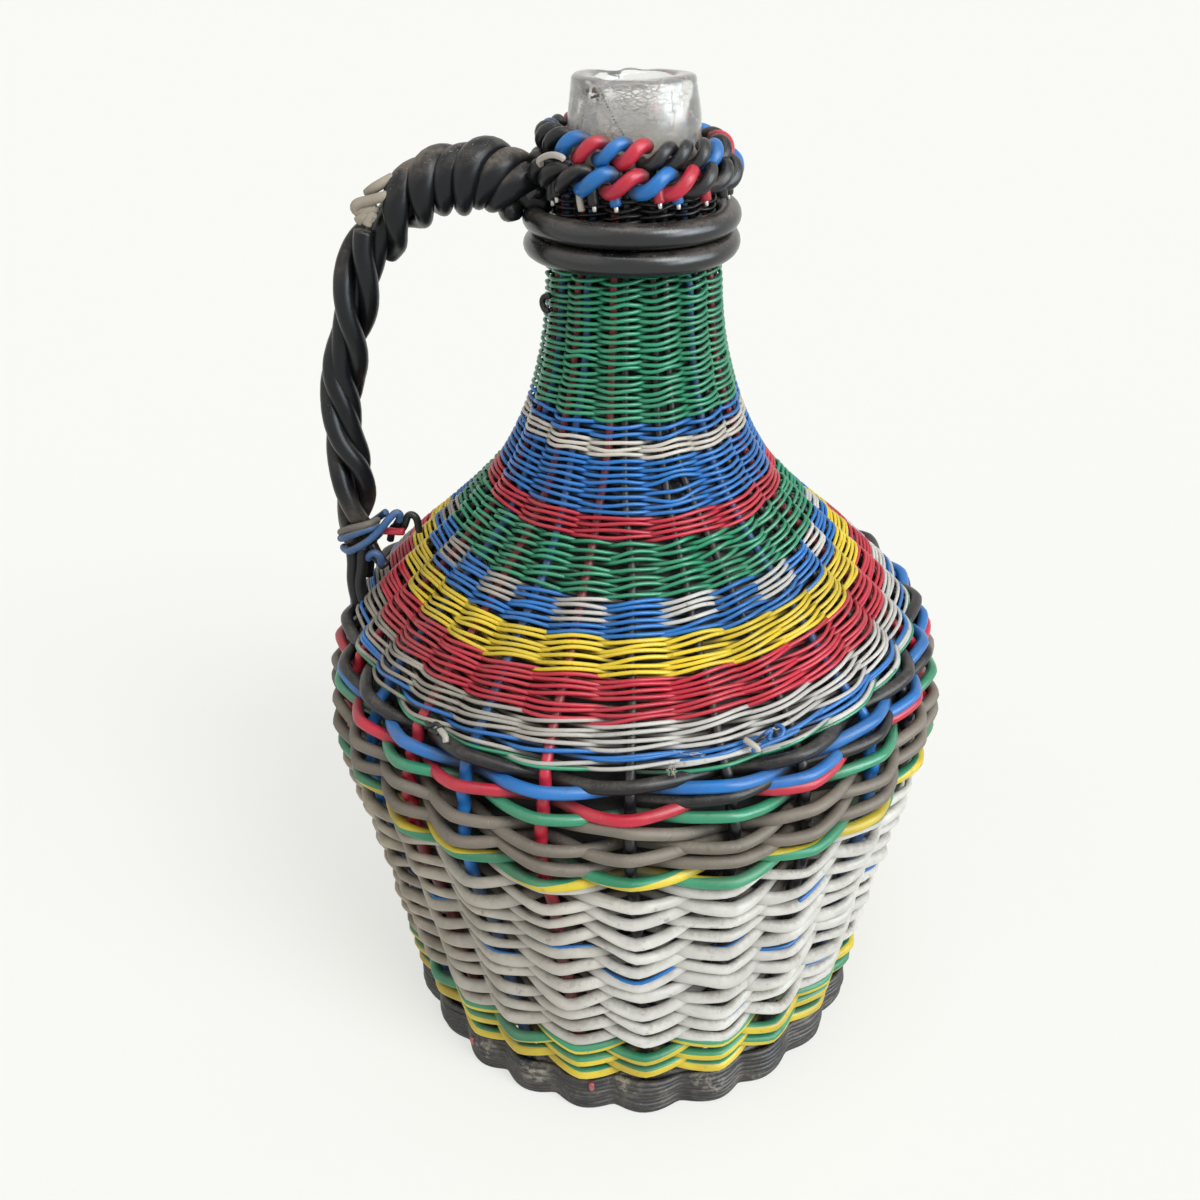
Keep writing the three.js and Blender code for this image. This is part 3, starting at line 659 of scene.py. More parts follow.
def twined_ring(s, phase, pairs):
    """Closed path of one wire of a row, and how far it stands in front."""
    turns, steps, slide, uneven, swing = TWINE[pairs]
    v = np.arange(turns * COUNT * steps) / steps
    theta = at_stake(v, s)
    alpha = math.pi * ((v + 0.5) / 2 if pairs else v) + phase
    if pairs:
        wave = np.tanh(NECK_SQUARE * np.cos(alpha)) / math.tanh(NECK_SQUARE)
    else:
        wave = kink(v, phase, THIN_CORNER)
    shift = slide * np.sin(alpha) + tilt(s, theta) + spread(s, theta)
    shift = shift + ripple(theta / turns, uneven, 2, 16 * turns)
    r, z = off(s + shift, stand(s) + swing * wave)
    return around(r, theta, z), wave


# Node, height of its top and bottom, rows, whether over pairs of stakes, material

BANDS = [
    ("neck_rows", 312, 290, 11, True, BLACK),
    ("green_neck_rows", 290, 247.2, 21, True, GREEN),
    ("blue_rows", 247.2, 242.3, 2, True, BLUE),
    ("cream_rows", 242.3, 237.4, 3, True, CREAM),
    ("lower_blue_rows", 237.4, 222.4, 8, True, BLUE),
    ("red_rows", 222.4, 216.3, 4, True, RED),
    ("lower_green_rows", 216.3, 203.6, 7, False, GREEN),
    ("yellow_rows", 195.3, 187.6, 6, False, YELLOW),
    ("lower_red_rows", 187.6, 178.8, 7, False, RED),
    ("pale_rows", 178.8, 173.2, 4, False, PALE),
]
CHECK_TOP, CHECK_BOTTOM, CHECK_ROWS, TWO_COLOR_ROWS = 203.6, 195.3, 6, 4


def band_rows(top, bottom, rows):
    return along(top) + (along(bottom) - along(top)) * (np.arange(rows) + 0.5) / rows


def add_row(pieces, s, pairs):
    if pairs:
        pieces[0].weave(twined_ring(s, rng.uniform(-0.1, 0.1), True), NECK_WIRE, closed=True)
        return
    for phase, piece in zip((EVEN, ODD), pieces):
        piece.weave(twined_ring(s, phase, False), THIN_WIRE, closed=True)


def make_thin_rows():
    for name, top, bottom, rows, pairs, material in BANDS:
        piece = Piece()
        for s in band_rows(top, bottom, rows):
            add_row([piece, piece], s, pairs)
        piece.make(name.replace("_rows", "_weave"), material, [name])
    blue, white = Piece(), Piece()
    for k, s in enumerate(band_rows(CHECK_TOP, CHECK_BOTTOM, CHECK_ROWS)):
        add_row([blue, white if k < TWO_COLOR_ROWS else blue], s, False)
    blue.make("check_blue_weave", BLUE, ["check_rows"])
    white.make("check_white_weave", PALE)


make_thin_rows()

PART_CORNER, PART_SLIDE, PART_UNEVEN = 0.88, 0.6, 0.2

# Rows over part of a turn: colour, first and last stake, height, rise along the row, phase

PART_ROWS = [
    ("blue", -1, 5, 172.0, 0.2, EVEN), ("blue", 0, 6, 171.4, 0.4, ODD), ("pale", 0, 6, 170.2, 0.4, ODD),
    ("pale", 1, 7, 169.6, 0.5, EVEN), ("green", -5, -1, 170.6, -1.6, EVEN),
    ("green", -6, 0, 169.8, -1.4, ODD), ("green", 1, 7, 169.4, 0.8, EVEN), ("green", 0, 6, 168.8, 1.0, ODD),
    ("blue", 9, 19, 171.2, 0.3, EVEN), ("green", 9, 17, 168.8, 0.4, EVEN), ("green", 8, 18, 168.4, 0.4, ODD),
    ("blue", -8, -4, 171.6, 0.4, ODD),
]
FILLING = {"blue": BLUE, "pale": PALE, "green": GREEN}
FULL_ROWS = [("blue", 172.3), ("pale", 170.2)]


def part_row(piece, start, end, height, rise, phase):
    """One thin wire over part of a turn, whose ends lie behind the stakes."""
    s = along(height)
    v = between(start, end)
    theta = at_stake(v, s)
    wave = kink(v, phase, PART_CORNER)
    slide = PART_SLIDE * np.sin(math.pi * v + phase) + rise * np.linspace(0, 1, len(v))
    slide = slide + ripple(theta, PART_UNEVEN, 2, 14)
    r, z = off(s + tilt(s, theta) + slide, stand(s) + THIN_SWING * wave)
    piece.tube(around(r, theta, z), THIN_WIRE, deep=wave)


def make_filling_rows():
    """Rows of mixed colour that level the shoulder above the thick rows."""
    pieces = {color: Piece() for color in FILLING}
    for color, height in FULL_ROWS:
        add_row([pieces[color]] * 2, along(height), False)
    for color, *row in PART_ROWS:
        part_row(pieces[color], *row)
    for color, piece in pieces.items():
        piece.make(f"filling_{color}_weave", FILLING[color])


make_filling_rows()

# Thick rows: one wire each, in front of every second stake

THICK_SWING, CORNER, DIP_WIDTH = 4.5, 0.98, 0.5
RING = np.arange(COUNT * STEPS) / STEPS
RING_DEGREES = RING * 360 / COUNT


def thick_path(v, height, phase, climb, sway, dip=0.0, long=0.0, swell=0.0):
    """Path of a thick wire. Long mixes between a zigzag and a wave that stays in front longer."""
    s = along(height)
    theta = at_stake(v, s)
    wave = (1 - long) * kink(v, phase, CORNER) + long * overlap(v, phase, DIP_WIDTH)
    swing = THICK_SWING * (1 + swell)
    r, z = off(s + climb * sine(theta) - dip * wave + sway, stand(s) + swing * wave)
    return around(r, theta, z), wave


def thick_ring(height, phase, uneven, climb=0.0, long=0.0):
    return thick_path(RING, height, phase, climb, ripple(RING_DEGREES, uneven, 2, 15), 0.0, long)


WALE_LONG, WALE_UNEVEN, GREY_UNEVEN, PART_WALE_UNEVEN = 0.45, 0.6, 0.95, 0.35
WALE_LOOKS = {
    "black": BLACK, "blue": BLUE, "lower_black": BLACK, "red": RED, "green": GREEN, "grey": GREY,
    "lower_grey": GREY, "earth": EARTH,
}

# Thick rows over part of a turn: colour, first and last stake, height, phase, radius, rise to +X

PART_WALES = [
    ("lower_black", 0, 12, 161.0, ODD, 1.95, 1.0), ("blue", 1, 13, 160.4, EVEN, 1.9, 0.8),
    ("lower_black", 14, 22, 161.4, ODD, 2.0, 0.0),
]

# Earth wire at the belly: height, phase, turns of its stripes, where they start

EARTH_WALES = [(133.4, EVEN, 7, 0.1), (129.8, ODD, 8, 0.45)]
EARTH_WALE_WIRE, EARTH_WALE_UNEVEN, EARTH_WALE_LONG = 1.95, 0.45, 0.5


def make_wales():
    wales = {name: Piece() for name in WALE_LOOKS}
    for name, height, phase, radius, climb in WALES:
        uneven = GREY_UNEVEN if "grey" in name else WALE_UNEVEN
        wales[name].weave(thick_ring(height, phase, uneven, climb, WALE_LONG), radius, 12, closed=True)
    for name, start, end, height, phase, radius, climb in PART_WALES:
        v = between(start, end)
        sway = ripple(v * 360 / COUNT, PART_WALE_UNEVEN, 2, 10)
        wales[name].weave(thick_path(v, height, phase, climb, sway, 0.0, WALE_LONG), radius, 12)
    for height, phase, turns, start in EARTH_WALES:
        woven = thick_ring(height, phase, EARTH_WALE_UNEVEN, 0.0, EARTH_WALE_LONG)
        wales["earth"].weave(woven, EARTH_WALE_WIRE, 14, closed=True, twist=turns, start=start)
    for name, material in WALE_LOOKS.items():
        wales[name].make(f"{name}_wale_wire", material, [f"{name}_wale"])


make_wales()

WHITE_TOP, WHITE_BOTTOM, WHITE_ROWS = 126.0, 41.5, 21
WHITE_WIRE, WHITE_DIP, WHITE_LONG = 1.72, 0.6, 0.3
SWAY, SWAY_KEPT, SWELL, UNEVEN_WIRE = 1.0, 0.45, 0.10, 0.14
STRIPS = {8: (-4, 2), 11: (-3, 5), 12: (2, 9), 15: (8, 20), 18: (0, 7), 5: (2, 6)}
STRIP_WIRE, STRIP_RISE, STRIP_IN = 0.75, 2.0, 0.992
EARTH_TOP, EARTH_BOTTOM, EARTH_WIRE = 37.0, 20.2, 2.0
EARTH_UNEVEN, EARTH_LONG, EARTH_FLAT = 0.4, 0.3, 1.1
EARTH_TURNS = (0, 1, 0, -1, 0)
EARTH_STARTS = (0.09, 0.12, 0.15, 0.18, 0.21)


def make_white_rows():
    """Flat thick rows of uneven height, some with a thin blue wire laid along them."""
    white, strip = Piece(), Piece()
    sway = np.zeros_like(RING)
    for k, height in enumerate(np.linspace(WHITE_TOP, WHITE_BOTTOM, WHITE_ROWS)):
        phase = EVEN if k % 2 else ODD
        sway = SWAY_KEPT * sway + ripple(RING_DEGREES, SWAY, 2, 20)
        swell = np.clip(ripple(RING_DEGREES, SWELL, 3, 18), -0.18, 0.14)
        woven = thick_path(RING, height, phase, 0.0, sway, WHITE_DIP, WHITE_LONG, swell)
        radius = WHITE_WIRE * (1 + np.clip(ripple(RING_DEGREES, UNEVEN_WIRE, 3, 18), -0.3, 0.25))
        white.weave(woven, radius, 12, closed=True, flat=rng.uniform(1.05, 1.6))
        if k in STRIPS:
            v = between(*STRIPS[k])
            lie = np.interp(v % COUNT, RING, sway)
            path, wave = thick_path(v, height + STRIP_RISE, phase, 0.0, lie, WHITE_DIP, WHITE_LONG)
            strip.tube(path * [STRIP_IN, STRIP_IN, 1], STRIP_WIRE, deep=wave)
    white.make("white_weave", WHITE, ["white_rows"])
    strip.make("white_weave_blue_wire", BLUE)


def make_earth_rows():
    earth = Piece()
    heights = np.linspace(EARTH_TOP, EARTH_BOTTOM, len(EARTH_TURNS))
    for k, (height, turns, start) in enumerate(zip(heights, EARTH_TURNS, EARTH_STARTS)):
        woven = thick_ring(height, EVEN if k % 2 else ODD, EARTH_UNEVEN, 0.0, EARTH_LONG)
        earth.weave(woven, EARTH_WIRE, 14, closed=True, flat=EARTH_FLAT, twist=turns, start=start)
    earth.make("earth_weave", EARTH, ["earth_rows"])


make_white_rows()
make_earth_rows()

FOOT_ROWS, FOOT_PITCH, FOOT_WIRE = 8, 1.95, 1.35
FOOT_REACH, FOOT_LOBE, FOOT_ROUND, FOOT_HEIGHT = 87.0, 4.2, 0.06, 15
LINING_REACH, LINING_WIRE, LINING_HEIGHTS = 85.4, 3.1, (3.2, 8.6, 14.0)


def make_foot():
    """Thin black rows that bulge round every stake, over a plain lining."""
    foot, lining = Piece(), Piece()
    theta = at_stake(RING, along(FOOT_HEIGHT))
    lobe = np.sqrt(np.cos(math.pi * RING) ** 2 + FOOT_ROUND)
    for k in range(FOOT_ROWS):
        lean = 0.9 * math.sin(math.pi * (k + 0.5) / FOOT_ROWS) - 0.5
        r = FOOT_REACH + FOOT_LOBE * lobe + lean + ripple(theta, 0.22, 2, 26)
        z = np.maximum(FOOT_WIRE + FOOT_PITCH * k + ripple(theta, 0.18, 2, 26), FOOT_WIRE)
        # The rows are darkened between the lobes with painted shade and dirt
        foot.tube(around(r, theta, z), FOOT_WIRE, closed=True, deep=lobe * 2 - 1)
    theta = np.arange(COUNT * 6) * 60 / COUNT
    for height in LINING_HEIGHTS:
        lining.tube(around(LINING_REACH, theta, np.full_like(theta, height)), LINING_WIRE, closed=True)
    foot.make("foot_border_wires", FOOT, ["foot_border"])
    lining.make("foot_lining", FOOT)


make_foot()

# Collar, whose strokes are the stakes' ends bent over each other: radius and height of the row, azimuth of
# the first stroke, colours, radius of the wire, half height of a stroke, its length in degrees, fall to +X

COLLAR = {
    "lower": (27.7, 314.9, -6.6, "RBRDDDBKRKBKKRKBKKKKKB", 2.0, 2.4, 24.0, 0.3),
    "upper": (24.9, 321.8, -1.5, "RDDDBKRKBKRKKBKRKBKKKBRB", 1.9, 2.35, 22.0, 1.7),
}
STROKE = np.linspace(0, 1, 24)
STROKE_FROM, STROKE_SWEEP, STROKE_MIDDLE, STROKE_TALL = -128, 262, 0.49, 1.08
STROKE_TURN = np.radians(STROKE_FROM + STROKE_SWEEP * STROKE)
# The ends of the strokes, which tuck under their neighbours, are darkened with painted shade and dirt
STROKE_DEEP = 1 - 2.4 * (2 * STROKE - 1) ** 2


def make_collar():
    for label, (reach, height, first, letters, radius, lay, span, lean) in COLLAR.items():
        strokes = {}
        for k, letter in enumerate(letters):
            theta = first + 360 / len(letters) * k + span * (STROKE - STROKE_MIDDLE) + rng.uniform(-1.2, 1.2)
            swell = lay * rng.uniform(0.9, 1.1)
            z = height + swell * STROKE_TALL * np.sin(STROKE_TURN) + rng.uniform(-0.35, 0.35)
            path = around(reach + swell * np.cos(STROKE_TURN), theta, z - lean * sine(theta))
            piece = strokes.setdefault(letter, Piece())
            piece.tube(path, radius * rng.uniform(0.95, 1.06), 14, deep=STROKE_DEEP)
        for n, (letter, piece) in enumerate(strokes.items()):
            material, color = SHADES[letter]
            piece.make(f"collar_{label}_{color}", material, [f"collar_{label}_row"] if n == 0 else [])


make_collar()

# Cut ends below the collar: azimuth, colour, whether bare wire shows

CUT_ENDS = [
    (-58, "K", 1), (-53, "K", 1), (-34, "C", 0), (-25, "K", 1), (-12, "B", 1), (13, "R", 1), (24, "B", 1),
    (44, "R", 1), (62, "D", 0), (74, "D", 1), (100, "K", 1), (131, "R", 1), (165, "K", 0), (196, "B", 1),
    (232, "K", 1), (262, "K", 0),
]
CUT_FROM, CUT_TO, CREAM_LOWER = 314, 308.8, 2.4
CUT_REACH, CUT_BEND, CUT_WIRE, CUT_CREAM = 27.6, 0.6, 1.6, 1.0
CUT_SIDE = (0.3, 1, 0)
TIP_WIRE, TIP_ALONG = 0.68, [0.15, -0.1, -1.5]


def make_cut_ends():
    """Ends of the stakes below the collar, some with bare wire at the tip."""
    pieces, tips = {}, Piece()
    for az, letter, bare in CUT_ENDS:
        cream = letter == "C"
        low = CUT_TO - (CREAM_LOWER if cream else 0.0)
        z = np.linspace(CUT_FROM, low + rng.uniform(-0.8, 1.4), 6)
        r = CUT_REACH + CUT_BEND * np.sin((CUT_FROM - z) / 3)
        path = around(r, az + 2.5 * (CUT_FROM - z) / 8, z)
        piece = pieces.setdefault(letter, Piece())
        piece.tube(path, CUT_CREAM if cream else CUT_WIRE, 10, outward=CUT_SIDE, cap=0.08)
        if bare:
            tips.tube(np.array([path[-1], path[-1] + TIP_ALONG]), TIP_WIRE, outward=CUT_SIDE, cap=0.3)
    for letter, piece in pieces.items():
        material, color = SHADES[letter]
        piece.make(f"cut_ends_{color}", material)
    tips.make("bare_tips", TIP)


make_cut_ends()

COIL_START, COIL_FROM, COIL_TO = -96, -0.02, 2.04
COIL_LOW, COIL_PITCH, COIL_MIDDLE, COIL_FALL = 293.4, 7.75, 0.27, 1.3
COIL_REACH, COIL_OVAL, COIL_TUCK, COIL_CABLE = 29.3, 0.25, 0.4, 3.7
COIL_SHIFT = [-0.9, 0, 0]


def make_coil():
    turns = np.linspace(COIL_FROM, COIL_TO, 170)
    theta = COIL_START + 360 * turns
    z = COIL_LOW + COIL_PITCH * (turns - COIL_MIDDLE) - COIL_FALL * sine(theta)
    r = COIL_REACH + COIL_OVAL * sine(2 * theta) - COIL_TUCK * ease(turns, 1.95, COIL_TO)
    coil = Piece()
    coil.tube(around(r, theta, z) + COIL_SHIFT, COIL_CABLE, 18)
    coil.make("neck_coil_cable", COIL, ["neck_coil"])


make_coil()

# Handle: cables twisted together in the leg, wound round a core over the arch

HANDLE = [
    (-27, 303.5), (-34, 309), (-44, 312.8), (-52, 312.2), (-60, 309.6), (-67.5, 305.4), (-75, 299.3),
    (-80.2, 292), (-84.2, 283), (-88.8, 272), (-91.9, 262), (-95.2, 251), (-95, 240), (-95.6, 229),
    (-95, 219), (-96.6, 209), (-98.2, 199), (-97.7, 191), (-97.4, 185),
]
LEG = through([(x, 0, z) for x, z in HANDLE])
LEG_LENGTH = PATH_STEP * np.arange(len(LEG))
LEG_END = LEG_LENGTH[-1]
ahead = np.gradient(LEG, axis=0)
LEG_NORMAL = np.cross([0, 1, 0], ahead / np.linalg.norm(ahead, axis=1, keepdims=True))
CORE_RADIUS = ([8, 40, 52, 66, 150], [5.8, 5.4, 4.2, 3.4, 2.9])
CORE_SHORTER = 6

# Lengths along the handle, and there the pitch and the radius of the wraps

WRAP_PITCH = ([7, 30, 42, 54, 66], [20, 20, 26, 45, 70])
WRAP_RADIUS = ([7, 30, 46, 62], [7.0, 7.0, 5.8, 4.6])
WRAP_START, WRAP_STEP, WRAP_CABLE, WRAP_SAG = 7.0, 0.6, 3.2, 1.3
WRAP_FLAT, WRAP_FLAT_INSIDE = 1.4, 0.82

# Wraps of each node: angle at the start, length at the end, how far it stands off

WRAPS = [[(235, 65.0, 0.6), (355, 46.0, -0.7)], [(115, 58.0, 0.1)]]

# Cables of the leg: length at the start, angle, radius of the twist, share of it at the start

LEG_TOP, LEG_PITCH, LEG_CABLE, LEG_STEP = 60.0, 65.5, 3.2, 0.9
LEG_CABLES = [(LEG_TOP, -50, 4.8, 1.0), (LEG_TOP - 10, 54, 5.3, 0.6), (LEG_TOP - 12, 226, 2.6, 0.6)]
LEG_JOIN, LEG_CLOSED, LEG_THIN = 14, 0.7, 0.72
INNER_ANGLE, INNER_RADIUS = 140, 1.8
CUT_FACE, CUT_FACE_DEEP = 2.2, 0.5


def winding(lengths, radius, angle):
    """Points round the handle and their outward directions. Angle 0 faces out of its bend, 270 the front."""
    angle = np.radians(angle)
    centre = np.stack([np.interp(lengths, LEG_LENGTH, LEG[:, k]) for k in range(3)], axis=-1)
    normal = np.stack([np.interp(lengths, LEG_LENGTH, LEG_NORMAL[:, k]) for k in range(3)], axis=-1)
    out = normal * np.cos(angle)[:, None] + np.array([0, 1, 0]) * np.sin(angle)[:, None]
    return centre + out * np.broadcast_to(radius, lengths.shape)[:, None], out


def make_arch():
    lengths = np.arange(0, LEG_END - CORE_SHORTER, 1.0)
    core = Piece()
    path, _ = winding(lengths, 0.0, 0.0 * lengths)
    core.tube(path, np.interp(lengths, *CORE_RADIUS), 12, outward=(0, 1, 0))
    core.make("handle_core", CABLE)
    for k, wraps in enumerate(WRAPS):
        wrap = Piece()
        for phase, end, stands in wraps:
            lengths = np.arange(WRAP_START, end, WRAP_STEP)
            turn = np.cumsum(WRAP_STEP * 360 / np.interp(lengths, *WRAP_PITCH))
            inner = 0.5 - 0.5 * np.cos(np.radians(phase - turn))
            radius = np.interp(lengths, *WRAP_RADIUS) + stands + 0.4 * sine(0.7 * turn + phase)
            path, out = winding(lengths, radius + WRAP_SAG * (inner - 0.4), phase - turn)
            flat = WRAP_FLAT - (WRAP_FLAT - WRAP_FLAT_INSIDE) * inner**2
            wrap.tube(path, WRAP_CABLE, 16, outward=out, flat=flat)
        wrap.make(f"handle_wraps_{k + 1}", CABLE, [f"handle_wrap_{k + 1}"])


def make_leg():
    """Twisted cables, the first with a grey cut face at its top, the last with one more cable beside it."""
    faces = Piece()
    for k, (start, phase, radius, share) in enumerate(LEG_CABLES):
        leg = Piece()
        lengths = np.arange(start, LEG_END, LEG_STEP)
        turn = 360 * (lengths - LEG_TOP) / LEG_PITCH
        rise = np.interp(lengths, [start, start + LEG_JOIN], [radius * share, radius])
        gather = np.interp(lengths, [LEG_END - LEG_JOIN, LEG_END], [1.0, LEG_CLOSED])
        path, out = winding(lengths, rise * gather, phase - turn)
        thick = LEG_CABLE * np.interp(gather, [LEG_CLOSED, 1], [LEG_THIN, 1])
        leg.tube(path, thick, 16, outward=out, cap=0.06)
        if k == 0:
            back = path[0] - path[1]
            back /= np.linalg.norm(back)
            face = np.array([path[0], path[0] + CUT_FACE_DEEP * back])
            faces.tube(face, CUT_FACE, 14, outward=out[:2], cap=0.05)
        if k == 2:
            path, out = winding(lengths, INNER_RADIUS * gather, INNER_ANGLE - turn)
            leg.tube(path, LEG_CABLE, 16, outward=out, cap=0.06)
        leg.make(f"handle_leg_{k + 1}", CABLE, [f"handle_cable_{k + 1}"])
    faces.make("handle_cut_faces", GREY)


make_arch()
make_leg()

# Single bent wires: piece, material, radius, routes, and where needed the flatness and the replaced nodes

HANDLE_WIRES = [
    ("handle_cream_strands", FRAYED, 1.4, [
        [(-79, -3, 307.4), (-77, -3.8, 308.9), (-74.6, -4, 310.3), (-70.6, -3, 312.2)],
        [(-71.4, -6, 307.8), (-77.2, -7, 306.5), (-81, -6.4, 305.5), (-82.5, -5.6, 304), (-81.6, -5.4, 302.7),
         (-79.2, -6.5, 303.2), (-76, -6, 304)],
    ], 1.1, ["handle_cream_wire"]),
    ("handle_frayed_end", FRAYED, 1.0, [
        [(-82.1, -6, 300.2), (-80.2, -7, 301.6), (-78, -6.4, 303.2), (-75.6, -5.4, 304.4)],
        [(-79.2, -7.2, 299.4), (-78.2, -7.2, 301.4), (-76.4, -6.4, 303)],
    ], 1.4),
    ("handle_tie_wire", TIE_BLUE, 1.3, [
        [(-87.3, 4, 198), (-93.7, 8, 192), (-101.2, 7, 188), (-103.2, 0, 189.8), (-99.3, -6, 193.5),
         (-94.9, -8.5, 196.4), (-91, -8.5, 198), (-88.4, -5, 196.9), (-88.5, 0, 193), (-94.3, 7, 185.2),
         (-100.8, 7, 182.3), (-102.7, 0, 186.2), (-99.3, -6, 188), (-95.7, -8.5, 190.6), (-91.4, -9, 193.6),
         (-86.9, -8.5, 197.6), (-83.5, -8, 201.6), (-81.1, -7, 203.4), (-80.1, -6, 202.1),
         (-80.9, -5, 199.2)],
    ], 1.0, ["handle_tie"]),
    ("handle_tie_grey", GREY, 1.3, [
        [(-100.9, 7, 189.7), (-102.9, 0, 192.2), (-98.5, -6, 196.6), (-94.3, -8.5, 198.8), (-90.5, -8, 199.7),
         (-88.6, -3, 198.6)],
    ]),
    ("handle_foot_hooks", BLACK, 1.3, [
        [(-80.9, -5, 199.4), (-82.4, -4, 197), (-84, -3, 195), (-85.5, -2, 190)],
        [(-82.4, -4, 195), (-80.6, -4, 195.4), (-79.2, -4, 197.5), (-78.1, -3, 200.1), (-76.3, -3, 200.5),
         (-75.1, -3, 198.6), (-74.8, -3, 194)],
    ]),
    ("handle_foot_strands", BLACK, 2.1, [
        [(-98.8, -4, 189), (-98.8, -5, 183), (-99.5, -6, 176), (-98.8, -7, 168), (-97, -8, 160)],
        [(-94.7, -5, 189), (-95.5, -6, 182.3), (-96.9, -7, 175), (-96.1, -8, 168)],
        [(-93, 3, 189), (-95, 4, 181), (-97, 5, 172)],
        [(-92, -3, 189), (-90, -4, 184.5), (-87.5, -5, 181)],
    ]),
    ("handle_foot_red", RED, 1.3, [
        [(-87, -5, 195.4), (-84, -7, 196.4), (-81.6, -8, 196.7), (-79, -8.6, 197)],
    ]),
    ("handle_foot_blue", TIE_BLUE, 1.3, [
        [(-93, -6, 185), (-91.6, -7.5, 187.5), (-89.8, -8, 188.3), (-88.4, -7.5, 186.4), (-88.6, -6, 183)],
    ]),
]


def bent_wire(name, material, radius, routes, flat=1.0, replaces=()):
    piece = Piece()
    for knots in routes:
        piece.tube(through(knots), radius, 12, outward=(0.13, 1, 0.11), flat=flat, cap=0.25)
    piece.make(name, material, replaces)


for wire_row in HANDLE_WIRES:
    bent_wire(*wire_row)

# Bottle

CHIP_PLACE = (-0.0116, -0.0146, 0.3378)


def glass_material():
    """Worn clear glass at the mouth with a crackled skin and a chip with dirt, painted dark and opaque under
    the cover as shade and dirt.
    """
    mat = Shader("bottle_glass")
    z = mat.axis(mat.coords, "Z")
    # Below the cover the glass is painted near black, opaque and rough: painted shade inside the cover, with
    # dirt
    hidden = mat.ramp(z, 0.3120, 0.3060)
    low = mat.ramp(mat.plus(z, mat.times(mat.noise(150, 4), 0.012)), 0.3345, 0.3270)
    cells = mat.node("TexVoronoi", {"feature": "DISTANCE_TO_EDGE"}, Scale=1.0)
    mat.put(cells.inputs["Vector"], mat.stretched(mat.coords, 330, 330, 820))
    crackle = mat.ramp(cells.outputs["Distance"], 0.12, 0.02)
    crackle = mat.times(crackle, mat.patches(130, 3, 0.44, 0.58, 0.0, 0.85))
    crackle = mat.times(crackle, mat.ramp(mat.axis(mat.coords, "Y"), -0.004, -0.012))
    chip = mat.ramp(mat.distance(CHIP_PLACE), 0.0038, 0.0014)
    chip = mat.times(chip, mat.patches(520, 4, 0.38, 0.58, rough=0.7))
    stain = mat.times(mat.patches(170, 5, 0.45, 0.64, 0.0, 0.7, 0.7), low)
    dirt = mat.most(mat.most(crackle, chip), stain, True)
    color = mat.mix(low, (0.985, 0.988, 0.975), (0.72, 0.68, 0.60))
    color = mat.mix(dirt, color, (0.17, 0.125, 0.085))
    color = mat.mix(hidden, color, (0.010, 0.011, 0.010))
    clear = mat.minus(0.86, mat.times(low, 0.30))
    clear = mat.times(clear, mat.minus(1.0, dirt))
    clear = mat.times(clear, mat.minus(1.0, hidden))
    rough = mat.plus(mat.ramp(z, 0.3390, 0.3370, 0.05, 0.12), mat.times(low, 0.12))
    rough = mat.plus(rough, mat.times(hidden, 0.3), True)
    streaks = mat.noise(1.0, 4, 0.6, mat.stretched(mat.coords, 420, 420, 40))
    relief = mat.plus(mat.noise(75, 2), mat.times(streaks, 0.35))
    mat.bump(mat.minus(relief, mat.times(crackle, 0.25)), 0.22, 0.0010)
    return mat.set(Base_Color=color, Transmission_Weight=clear, Roughness=rough, IOR=1.46)


BORE, RIM = 10.8, 340.0
LIP = [
    (18, 337.6), (17.9, 338.8), (17.5, 339.5), (16.8, 339.9), (15.6, RIM), (13.2, RIM), (12, 339.6),
    (11.2, 338.4), (BORE, 336.5),
]
FOOT_RING = [(0, 22), (40, 16), (71, 10), (77.5, 12.5), (80.5, 17)]
SHOULDER = [(19.3, 329), (18.9, 332), (18.4, 335)]
INSIDE = [
    (BORE, 330), (BORE, 318), (BORE, 300), (BORE, 280), (18, 240), (44, 208), (75, 175), (92, 140), (80, 40),
    (70, 16), (40, 20), (0, 26),
]
BODY_FROM, BODY_STEP, BOTTLE_SIDES = 40, 6.0, 128
MOUTH_FROM, MOUTH_TO = 329, 338

# Chips in the lip: azimuth, width, depth

CHIPS = [(-146, 13, 1.9), (-158, 7, 1.2), (-42, 8, 1.5), (-33, 5, 0.9), (22, 16, 0.5), (168, 8, 0.6)]


def wobble(theta, z):
    """How far the blown mouth is out of round."""
    return 0.22 * sine(3 * theta + 40) * ease(z, MOUTH_FROM, MOUTH_TO)


def make_bottle():
    body = list(zip(*off(np.arange(along(BODY_FROM), S[-1], BODY_STEP), 0.0)))
    profile = FOOT_RING + body + SHOULDER + LIP + INSIDE
    sides = BOTTLE_SIDES
    theta = np.arange(sides) * 360 / sides
    rings = []
    for r, z in profile:
        mouth = ease(z, MOUTH_FROM, MOUTH_TO)
        rr = r + wobble(theta, z) * (1 if r > 13 else 0.6)
        zz = z + mouth * (0.25 * sine(2 * theta - 30) - 0.15)
        for az, width, depth in CHIPS:
            notch = depth * mouth * ease(r, 11, 17) * np.exp(-((turned(theta, az) / width) ** 2))
            zz = zz - notch
            rr = rr - 0.6 * notch * ease(r, 12, 17)
        rings.append(around(rr, theta, zz))
    mesh = bpy.data.meshes.new("bottle")
    faces = quads_between(len(rings), sides).tolist()
    mesh.from_pydata((np.vstack(rings) * MM).tolist(), [], faces)
    mesh.shade_smooth()
    mesh.materials.append(glass_material())
    place("bottle", mesh, ["glass_bottle"])


make_bottle()

# Fine cracks in the mouth: azimuth and height of their ends, radius

